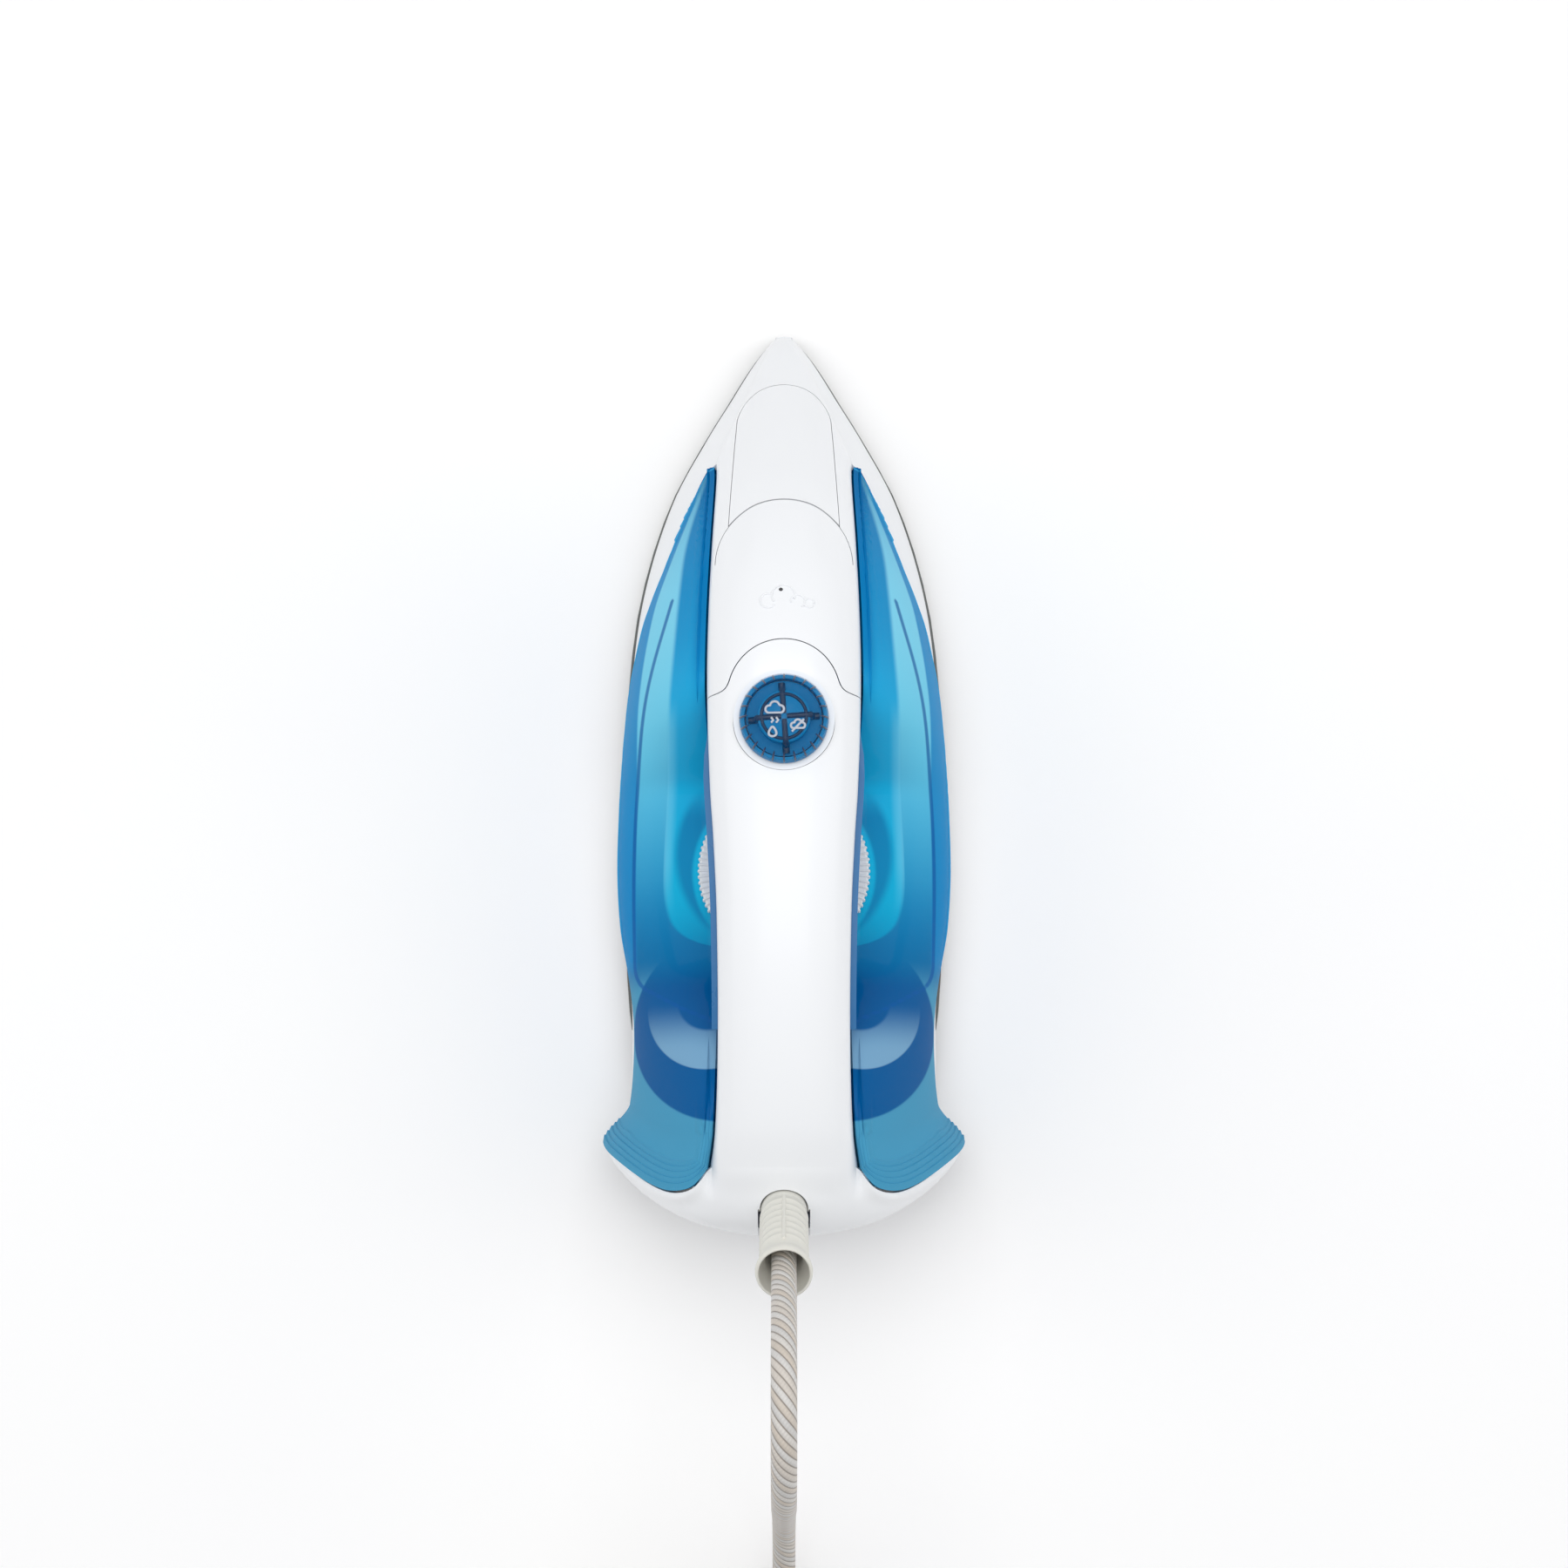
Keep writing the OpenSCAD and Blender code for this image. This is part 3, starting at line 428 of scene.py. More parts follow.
CROWN_HALF = [[-124, 21.6], [-113, 20], [-88, 19.1], [-52, 19.4], [-30, 20.4], [-15, 21.4], [15, 22.4],
              [36, 22.2], [60, 21.5], [85, 20.8], [92, 21]]
CROWN_LOW = [[-124, 84], [-113, 91], [-88, 98], [-52, 103], [-15, 104], [6, 102], [36, 94], [60, 80],
             [85, 54], [92, 47]]
SHOULDER = [[-115, 89], [-100, 94], [-88, 89], [-76, 74], [-67, 63], [-61, 60], [-35, 60], [-14, 60],
            [-8, 62.5], [0, 77], [8, 93], [15, 99.5], [24, 98.6], [36, 94], [60, 80], [85, 54],
            [92, 47]]
REACH = [[-115, 4], [-88, 7], [-67, 14], [-35, 17], [-8, 15], [10, 8], [36, 4], [92, 0.5]]
BULGE = [[-115, 0], [-80, 1], [-40, 2.2], [0, 2], [40, 0.5], [92, -0.5]]
WELL = [[-115, 24], [-88, 18], [-70, 3], [-62, 0.6], [-14, 0.6], [-6, 2], [4, 14], [14, 24], [92, 20]]
NOSE_HALF = [[92, 21], [108, 15.6], [124, 9.8], [134, 6.2], [141, 2.6]]
NOSE_LOW = [[92, 47], [108, 35], [124, 23.5], [134, 16.5], [141, 11]]
SWEEP = [[0, -115], [0.25, -120.5], [0.6, -129], [0.8, -129], [1, -123.5]]
TIP_Y = 144.0
SKIRT_Z = 7.0
GAP = 0.35
DIAL_Y, DIAL_Z = 2.2, 120.5
KNOB_Y, KNOB_Z = -35.5, 60.6


def curve(p, x):
    """The smooth curve through the [x, value] pairs of p, at x."""
    i = 0
    while i < len(p) - 2 and x >= p[i + 1][0]:
        i += 1

    def rise(k):
        a, b = max(0, k - 1), min(len(p) - 1, k + 1)
        return (p[b][1] - p[a][1]) / (p[b][0] - p[a][0])

    h = p[i + 1][0] - p[i][0]
    t = min(1.0, max(0.0, (x - p[i][0]) / h))
    a = 2 * t**3 - 3 * t**2 + 1
    b = t**3 - 2 * t**2 + t
    c = 3 * t**2 - 2 * t**3
    d = t**3 - t**2
    return a * p[i][1] + b * h * rise(i) + c * p[i + 1][1] + d * h * rise(i + 1)


def ramp(a, b, x):
    t = min(1.0, max(0.0, (x - a) / (b - a)))
    return t * t * (3 - 2 * t)


def mix(a, b, t):
    return a + (b - a) * t


def sole_half(y):
    return curve(SOLE, math.sqrt(max(0.0, TIP_Y - y)))


def crown_half(y):
    return curve(NOSE_HALF, y) if y > 92 else curve(CROWN_HALF, y) - 0.2


def crown_low(y):
    return curve(NOSE_LOW, y) if y > 92 else curve(CROWN_LOW, y)


def crown_row(y, t):
    """Points of the white crown across the body at y, for t from the lower edge (0) to the ridge (1)."""
    low = crown_low(y)
    x = crown_half(y) * np.cos(np.pi / 2 * t) ** 0.8
    z = low + (curve(TOP, y) - low) * np.sin(np.pi / 2 * t) ** 0.8
    valley = 1.1 * ramp(44, 62, y) * ramp(122, 104, y)
    z = z - valley * np.exp(-((np.abs(x) - 14) / 3.4) ** 2)
    return np.stack([x, np.full_like(t, y), z], axis=1)


def mirrored(row):
    """A row from one side to the other, from its right half whose first point is on the middle plane."""
    left = row[::-1].copy()
    left[:, 0] *= -1
    return np.concatenate([left, row[1:]])


def crown_grid(y_front, y_rear):
    """Rows of the crown from front to rear, a row every 1.5 mm."""
    n = int(math.ceil((y_front - y_rear) / 1.5))
    t = np.linspace(1, 0, 27)
    return np.array([mirrored(crown_row(mix(y_front, y_rear, i / n), t)) for i in range(n + 1)])


def flank_row(y, t):
    """Points of the tank's side at y, for t from its lower edge (0) to its shoulder (1)."""
    flare = ramp(-103, -115, y)
    back = ramp(-80, -115, y)
    shift = np.array([back * (curve(SWEEP, v) - SWEEP[0][1]) for v in t])
    half = curve(TANK_HALF, y)
    low = curve(TANK_LOW, y)
    inner = curve(CROWN_HALF, y + back * (SWEEP[-1][1] - SWEEP[0][1])) + 0.5
    high = curve(SHOULDER, y)
    f = 6.5 * flare

    def bezier(a, b, c, d):
        s = 1 - t
        return s**3 * a + 3 * s**2 * t * b + 3 * s * t**2 * c + t**3 * d

    x = bezier(half, half + curve(BULGE, y), inner + curve(REACH, y), inner) + f * (1 - t)
    z = bezier(low, mix(low, high, 0.42), high, high) + 0.6 * f * np.sin(np.pi * t)
    return np.stack([x, y + shift, z], axis=1)


def edge_half(y):
    return curve(NOSE_HALF, y) if y > 92 else curve(TANK_HALF, y) + 6.5 * ramp(-103, -115, y)


def edge_low(y):
    return curve(NOSE_LOW, y) if y > 92 else curve(TANK_LOW, y)


def circle_plan(x, y, r, start=0.0, end=360.0, steps=96):
    """Points round a circle in plan, or along an arc of it with both of its ends."""
    count = steps + (1 if end - start < 360 else 0)
    angles = [math.radians(mix(start, end, i / steps)) for i in range(count)]
    return [(x + r * math.cos(a), y + r * math.sin(a)) for a in angles]


# ---- Cord and coil, running to the plug ----------------------------------------------------------

CORD_R = 3.5
ROUTE = [
    [0, -147, 114], [0, -150, 120], [0, -154, 128], [0, -158, 136], [0, -163, 145], [0, -169, 153],
    [0, -177, 159], [0, -186, 161], [0, -195, 159], [0, -203, 153], [0, -209, 144], [0, -213, 133],
    [0, -216, 120], [0, -218, 105], [0, -220, 90], [0, -222, 75], [0, -224, 60], [0, -227, 46],
    [0, -232, 32], [0, -240, 20], [0, -250, 11], [0, -262, 6], [0, -274, 4.6], [0, -282, 4.5],
]
COIL_X, COIL_Y, COIL_MEAN, COLUMN = -46.2, -306.0, 39.0, 7.2
LAYER_LOW, LAYER_HIGH = 4.5, 11.7
PLUG_Y, PLUG_Z = COIL_Y - 24, 12.0


def coil_path():
    """Six turns in three columns and two layers: inwards on the floor, up, and outwards on top."""
    inwards = [COIL_MEAN + COLUMN, COIL_MEAN, COIL_MEAN - COLUMN]
    radii = inwards + inwards[::-1]
    points = []
    for turn in range(6):
        after = min(turn + 1, 5)
        for i in range(120):
            angle = 3.0 * i
            inward = ramp(300, 360, angle) if turn < 3 else ramp(230, 300, angle)
            r = mix(radii[turn], radii[after], inward)
            rise = 0.0 if turn < 2 else 1.0 if turn > 2 else ramp(300, 360, angle)
            a = math.radians(-angle)
            height = mix(LAYER_LOW, LAYER_HIGH, rise)
            points.append([COIL_X + r * math.cos(a), COIL_Y + r * math.sin(a), height])
    return points


cord_line = [*ROUTE, *[[0, mix(-284, -304, i / 8), LAYER_LOW] for i in range(9)], *coil_path(),
             [0, COIL_Y, LAYER_HIGH], [0, COIL_Y - 8, LAYER_HIGH], [0, COIL_Y - 16, LAYER_HIGH + 0.2],
             [0, PLUG_Y - 6, PLUG_Z]]
cord_line = resample(relax(resample(cord_line, 2.0), 12), 1.0)


def braid_paint():
    """Textile cord: slanting strands of silver, white and beige, crossed by finer ones, with painted shade in
    the grooves between them.
    """
    paint = Paint("braided_cord", Sheen_Weight=0.25, Sheen_Roughness=0.4, Specular_IOR_Level=0.4)
    uv = paint.add("ShaderNodeUVMap", uv_map="cord")
    split = paint.add("ShaderNodeSeparateXYZ")
    paint.link(uv.outputs["UV"], split.inputs["Vector"])
    around, along = split.outputs["X"], split.outputs["Y"]

    def slant(count, lead):
        return paint.math("ADD", paint.math("MULTIPLY", around, count), paint.math("MULTIPLY", along, lead))

    def ridge(phase):
        return paint.math("ABSOLUTE", paint.math("SINE", paint.math("MULTIPLY", phase, math.pi)))

    strands, fine = slant(8.0, 2.6), slant(16.0, -5.2)
    height, cross = ridge(strands), ridge(fine)
    tint = paint.math("FRACT", paint.math("MULTIPLY", paint.math("FLOOR", strands), 0.375))
    cloth = paint.ramp(tint, [
        (0.0, linear(214, 213, 212)), (0.35, linear(240, 239, 237)), (0.7, linear(205, 184, 158)),
        (1.0, linear(232, 230, 227)),
    ])
    # Painted shade: the cloth is darker between the finer crossing strands and in the grooves between the
    # strands.
    shaded = paint.mix(0.5, cloth, linear(186, 182, 178))
    cloth = paint.mix(paint.math("MULTIPLY", cross, 0.35), shaded, cloth)
    paint.colour(paint.mix(paint.between(height, 0.1, 0.5), linear(150, 142, 134), cloth))
    paint.roughness(0.42, 0.6, 700.0)
    paint.bump(paint.math("ADD", height, paint.math("MULTIPLY", cross, 0.25)), 0.0005, 0.6)
    return paint.material


def cord_piece():
    sides = 24
    verts, faces = tube(cord_line, CORD_R, sides)
    obj = new_object("cord_braided", verts, faces, braid_paint(), body=None, slot="braid",
                     replaces=("cord", "cord_coil"), sharp=60)
    wrap_uv(obj.data, "cord", sides, cord_line)
    return obj


def wrap_uv(mesh, name, sides, line):
    """A UV map on a tube: turns round it in U, and diameters along it in V."""
    length = np.concatenate([[0], np.cumsum(np.linalg.norm(np.diff(line, axis=0), axis=1))]) / (2 * CORD_R)
    layer = mesh.uv_layers.new(name=name)
    for poly in mesh.polygons:
        ids = [mesh.loops[loop].vertex_index for loop in poly.loop_indices]
        wraps = len(ids) == 4 and {0, sides - 1} <= {i % sides for i in ids}
        for loop, i in zip(poly.loop_indices, ids):
            k = i % sides
            layer.data[loop].uv = ((sides if wraps and k == 0 else k) / sides, length[i // sides])


cord = cord_piece()
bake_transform(cord)

# ---- White covers ----------------------------------------------------------------------------------

WHITE = linear(243, 245, 248)
white = moulded("white_plastic", WHITE, 0.99, (0.3, 0.33), Coat_Weight=0.12, Coat_Roughness=0.1)
white_satin = moulded("white_satin", linear(228, 232, 236), 0.96, (0.3, 0.4))
WALL = 2.2

LID_R, LID_Y, REAR_R, REAR_Y = 14.5, 104.3, 20.0, 51.0
SEAM_R, SEAM_Y = 16.0, 9.8


def lid_outline(d):
    """Plan of the filling lid, grown by d: a round front, straight sides and a hollow rear."""
    front = circle_plan(0, LID_Y, LID_R + d, 0, 180, 48)
    r = REAR_R + GAP - d
    corner = 1.12 * LID_R + d
    rear_angle = math.acos(corner / r)
    turns = np.linspace(rear_angle, math.pi - rear_angle, 49)
    rear = [(-r * math.cos(a), REAR_Y + r * math.sin(a)) for a in turns]
    return front + rear


def button_front(r):
    """Plan of everything in front of the button's front edge."""
    arc = [(r * math.cos(a), REAR_Y + r * math.sin(a)) for a in np.linspace(0, math.pi, 65)]
    return [(40, REAR_Y)] + arc + [(-40, REAR_Y), (-40, 200), (40, 200)]


def dial_seam(d):
    """Plan of what lies in front of the seam before the dial, moved forward by d."""
    r = SEAM_R + d
    lift = math.radians(17)
    arc = [(r * math.cos(a), SEAM_Y + r * math.sin(a)) for a in np.linspace(lift, math.pi - lift, 65)]
    a, b = np.array(arc[0]), np.array([arc[0][0] + 1.0, 11.2 + d])
    c, e = np.array([17.4, 10.5 + d]), np.array([22.5, 10.2 + d])
    tail = [tuple((1 - t) ** 3 * a + 3 * (1 - t) ** 2 * t * b + 3 * (1 - t) * t * t * c + t**3 * e)
            for t in np.linspace(0.08, 1, 14)]
    left = [(-x, y) for x, y in tail]
    return [(60, tail[-1][1])] + tail[::-1] + arc + left + [(-60, tail[-1][1]), (-60, 200), (60, 200)]


def crown_piece(name, y_front, y_rear, **where):
    verts, faces = shell(crown_grid(y_front, y_rear), -WALL)
    return new_object(name, verts, faces, white, slot="white_plastic", **where)


nose = crown_piece("nose_moulding", 141, 50, replaces=("nose_cover",))
carve(nose, slab(lid_outline(0.12), -20, 160))
carve(nose, slab(button_front(REAR_R + 0.16), -20, 160), "INTERSECT")

lid = crown_piece("lid_moulding", 124, 60, body="lid", replaces=("fill_lid",))
carve(lid, slab(lid_outline(-0.05), -20, 160), "INTERSECT")

button = crown_piece("button_moulding", 74, 4, body="button", replaces=("steam_button",))
carve(button, slab(button_front(REAR_R), -20, 160))
carve(button, slab(dial_seam(0.26), -20, 160), "INTERSECT")

handle = crown_piece("handle_moulding", 32, -123, replaces=("handle_cover",))
carve(handle, slab(dial_seam(-0.05), -20, 160))
carve(handle, slab(circle_plan(0, DIAL_Y, 14.4), 80, 160))


def emblem_piece():
    """Raised steam mark on the button, round a pin hole whose dark inside is painted shade on a small black
    disc.
    """
    lines = []
    puffs = ((-4.6, 37.6, 2.2, 60, 330), (-0.2, 39.2, 3.3, -20, 215), (4.0, 37.4, 2.0, -60, 190),
             (7.2, 36.9, 1.4, 0, 350))
    for x, y, r, start, end in puffs:
        arc = circle_plan(x, y, r, start, end, 28)
        path = [[px, py, crown_top(px, py) + 0.12] for px, py in arc]
        lines.append(tube(path, 0.26, 8))
    new_object("button_emblem", *join(*lines), white, body="button", slot="white_plastic", sharp=60)
    pin_x, pin_y = -0.9, 41
    # Painted shade: a small black disc stands in for the dark inside of the pin hole.
    profile = [(0, -0.4), (0.55, -0.4), (0.6, 0.0), (0.45, 0.18), (0, 0.22)]
    pin = lathe(profile, 24, (pin_x, pin_y, crown_top(pin_x, pin_y)))
    new_object("button_pin_hole_shade", *pin, moulded("pin_hole_shade", linear(36, 36, 40), 0.8, (0.3, 0.4)), body="button",
               slot="dark_plastic", sharp=40)


def crown_top(x, y):
    """Height of the crown over the point (x, y)."""
    row = crown_row(y, np.linspace(0, 1, 200))
    return float(np.interp(abs(x), row[::-1, 0], row[::-1, 2]))


emblem_piece()

# ---- Skirt and heel ----------------------------------------------------------------------------------

SKIRT_WALL = 1.8


def skirt_row(y, t):
    a = max(0.9, sole_half(y) - 1.2)
    b, top, s = edge_half(y), edge_low(y) - GAP, 1 - t
    x = s * s * a + 2 * s * t * mix(a, b, 0.18) + t * t * b
    z = s * s * SKIRT_Z + 2 * s * t * mix(SKIRT_Z, top, 0.48) + t * t * top
    return np.stack([x, np.full_like(t, y), z], axis=1)


def skirt_piece():
    t = np.linspace(0, 1, 15)
    side = [TIP_Y - mix(1.4, 15.55, i / 110) ** 2 for i in range(111)]
    right = [skirt_row(y, t) for y in reversed(side)]
    left = [row * (-1, 1, 1) for row in reversed(right)]
    tip = [np.stack([np.full_like(t, 0.0), mix(143.2, 142.6, t), mix(SKIRT_Z, 9.5, t)], axis=1)]
    grid = np.array(right + tip + left)
    bar = slab([(-46.6, -97.4), (46.6, -97.4), (46.6, -95.4), (-46.6, -95.4)], SKIRT_Z, 16)
    verts, faces = join(shell(grid, -SKIRT_WALL), bar)
    new_object("skirt_moulding", verts, faces, white, slot="white_plastic", replaces=("skirt",))


skirt_piece()

PIVOT = np.array([0.0, -131.0, 81.0])
LEAN = math.radians(26.0)
SLEEVE_R, MOUTH_R = 6.6, 8.0


def along_sleeve(verts):
    """Points of a form that stands on the pivot, leaned back with the sleeve."""
    c, s = math.cos(LEAN), math.sin(LEAN)
    return [(x, PIVOT[1] + y * c - z * s, PIVOT[2] + y * s + z * c) for x, y, z in verts]


def along(part):
    """A (points, faces) part leaned back with the sleeve."""
    return along_sleeve(part[0]), part[1]


HEEL_Y, HEEL_LOW = -145.8, 17.0


def heel_plane(z):
    return HEEL_Y + (80 - min(z, 80)) * 0.2


def heel_piece():
    crown = crown_row(-123.0, np.linspace(1, 1 / 6, 24))
    t = np.linspace(1, 0, 50)
    side = flank_row(-115, t)
    side[:, 0] -= 1.4 * (1 - t)
    side[:, 1] -= GAP + 0.3
    side[:, 2] -= 0.9
    front_edge = mirrored(np.concatenate([crown, side]))
    soft_edge = relax(front_edge, 160)
    rows = []
    for r in np.linspace(0, 1, 44) ** 1.15:
        edge = mix(front_edge, soft_edge, ramp(0, 0.22, r))
        turn = max(0.0, math.cos(math.pi / 2 * r))
        narrow, squat = max(0.01, turn**0.9), max(0.01, turn**0.35)
        e = math.sin(math.pi / 2 * r) ** 0.9
        z = HEEL_LOW + (edge[:, 2] - HEEL_LOW) * squat
        back = mix(edge[:, 1], np.array([heel_plane(v) for v in z]), e)
        level = np.array([ramp(80, 90, v) for v in edge[:, 2]])
        fall = 0.5 * (edge[:, 1] - back) * (1 - e) * level
        rows.append(np.stack([edge[:, 0] * narrow, back, z - fall], axis=1))
    verts, faces = shell(np.array(rows), -WALL)
    obj = new_object("heel_moulding", verts, faces, white, slot="white_plastic", replaces=("heel_cover",))
    carve(obj, along(tube([[0, 0, 0], [0, 0, 40]], SLEEVE_R + 0.4, 64)))
    slot = SLEEVE_R + 0.9
    carve(obj, along(slab([(-slot, -40), (slot, -40), (slot, 0), (-slot, 0)], 0, 40)))
    for side in (-1, 1):
        hole = tube([[side * 26, -118, 30], [side * 26, -160, 30]], 1.6, 24)
        carve(obj, hole)


heel_piece()

# ---- Tank ----------------------------------------------------------------------------------------------

TANK_WALL = 2.4


def step_ridges(d, first, pitch, count, height):
    """A flight of small steps across the distance d from an edge."""
    rise = np.zeros_like(d)
    for i in range(count):
        place = first + pitch * i
        near = np.clip((d - (place - pitch * 0.5)) / (pitch * 0.85), 0, 1)
        rise += height * np.where(near >= 1, 0, near)
    return rise


def vessel_distance(x, y):
    """Distance in plan from the wall of the inner vessel, whose edge shows through the tank."""
    rail = [[-62, 45.6], [-32, 45.7], [-5, 44.3], [20, 40.5], [45.6, 33.4]]
    side = [(curve(rail, v), v) for v in np.linspace(45.6, -62, 60)]
    corner = [(45.6 - 8 * (1 - math.cos(a)), -62 - 9 * math.sin(a)) for a in np.linspace(0.1, 1.2, 8)]
    line = np.array(side + corner + [(30, -76.5), (21.5, -80.5)])
    best = np.full(x.shape, 1e9)
    for p, q in zip(line, line[1:]):
        step = q - p
        t = np.clip(((x - p[0]) * step[0] + (y - p[1]) * step[1]) / step.dot(step), 0, 1)
        best = np.minimum(best, np.hypot(x - p[0] - t * step[0], y - p[1] - t * step[1]))
    return best


POOL = [[-58, 19], [-56.5, 25], [-54, 30], [-50, 33.5], [-42, 35.4], [-30, 35.4], [-18, 34.8],
        [8, 33.5], [30, 32], [45, 31], [62, 29.5], [76, 26.5], [88, 22.5]]
VERGE = [[-62, 45], [-32, 45.2], [-5, 44.8], [20, 43.6], [45, 39.8], [62, 34.3], [76, 29], [88, 24.6]]


def tank_piece():
    front = list(np.linspace(91, 62, 60))
    middle = list(np.linspace(60.9, -98, 112))
    rear = list(-98 - 17 * np.linspace(0.03, 1, 52) ** 0.8)
    stations = front + middle + rear
    s = np.linspace(0, 1, 84)
    t = 0.5 + 0.5 * np.cos(np.pi * s) * (0.6 + 0.4 * np.abs(np.cos(np.pi * s)))
    drop = [(3, 1), (1.2, 0.98), (0.6, 0.9), (0.5, 0.7), (0.4, 0.5), (0.3, 0.3), (0.2, 0.12), (0.1, 0.03)]
    rows = []
    for y in stations:
        back = ramp(-80, -115, y) * (SWEEP[-1][1] - SWEEP[0][1])
        inner = curve(CROWN_HALF, y + back) + 0.5
        top, depth = curve(SHOULDER, y), curve(WELL, y)
        well = [(share * inner, depth) for share in (0, 0.25, 0.5, 0.75)]
        well += [(inner - gap, depth * share) for gap, share in drop]
        base = np.array([(x, y + back, top - d) for x, d in well])
        rows.append(mirrored(np.concatenate([base, flank_row(y, t)])))
    grid = np.array(rows)
    n, m, _ = grid.shape
    half = m // 2
    hop = np.linalg.norm(np.diff(grid, axis=1), axis=2)
    cols = np.zeros((n, m))
    cols[:, half + 1:] = np.cumsum(hop[:, half:], axis=1)
    start = half + 12
    inward = np.maximum(0, cols - cols[:, start:start + 1])
    outward = cols[:, -1:] - cols
    inward[:, :half] = inward[:, :half:-1]
    outward[:, :half] = outward[:, :half:-1]
    stride = np.linalg.norm(np.diff(grid, axis=0), axis=2)
    rearward = np.zeros((n, m))
    rearward[:-1] = np.cumsum(stride[::-1], axis=0)[::-1]
    forward = np.zeros((n, m))
    forward[1:] = np.cumsum(stride, axis=0)
    on_side = np.zeros(m)
    on_side[start:] = 1
    on_side[:m - start] = 1
    y = grid[:, :, 1]
    normal = grid_normals(grid)
    if normal[n // 2, (start + m) // 2, 0] < 0:
        normal = -normal
    near_tip = np.minimum(inward, outward * 0.9 + 0.6)
    tip_fade = np.clip((y - 14) / 40, 0, 1) * on_side
    from_edge = np.where(y > 70, near_tip, inward)
    tip = step_ridges(from_edge, first=1.6, pitch=1.5, count=5, height=0.42) * tip_fade
    rear_near = np.minimum(rearward, inward * 1.1 + 0.4)
    rear_fade = np.clip((-100 - y) / 8, 0, 1) * on_side
    flange = step_ridges(rear_near, first=1.5, pitch=1.7, count=5, height=0.45) * rear_fade
    bead_fade = np.clip((y + 70) / 20, 0, 1) * np.clip((84 - y) / 6, 0, 1) * on_side
    bead = 0.55 * np.exp(-((outward - 3.4) / 0.9) ** 2) * bead_fade
    outer = grid + normal * (tip + flange + bead)[:, :, None]
    inner = grid - TANK_WALL * normal
    verts = np.concatenate([outer.reshape(-1, 3), inner.reshape(-1, 3)])
    _, faces = shell(grid, -TANK_WALL)
    from_middle = np.abs(grid[:, :, 0])
    values = {"inward": inward, "outward": outward, "seam": vessel_distance(from_middle, y)}
    for label, rail in (("pool", POOL), ("verge", VERGE)):
        values[label] = from_middle - np.array([[curve(rail, v) for v in row] for row in y])
    fields = [(label, np.concatenate([field.ravel(), field.ravel()])) for label, field in values.items()]
    new_object("tank_see_through", verts, faces, tank_paint(), slot="blue_tank", replaces=("tank_shell",),
               sharp=50, fields=fields)


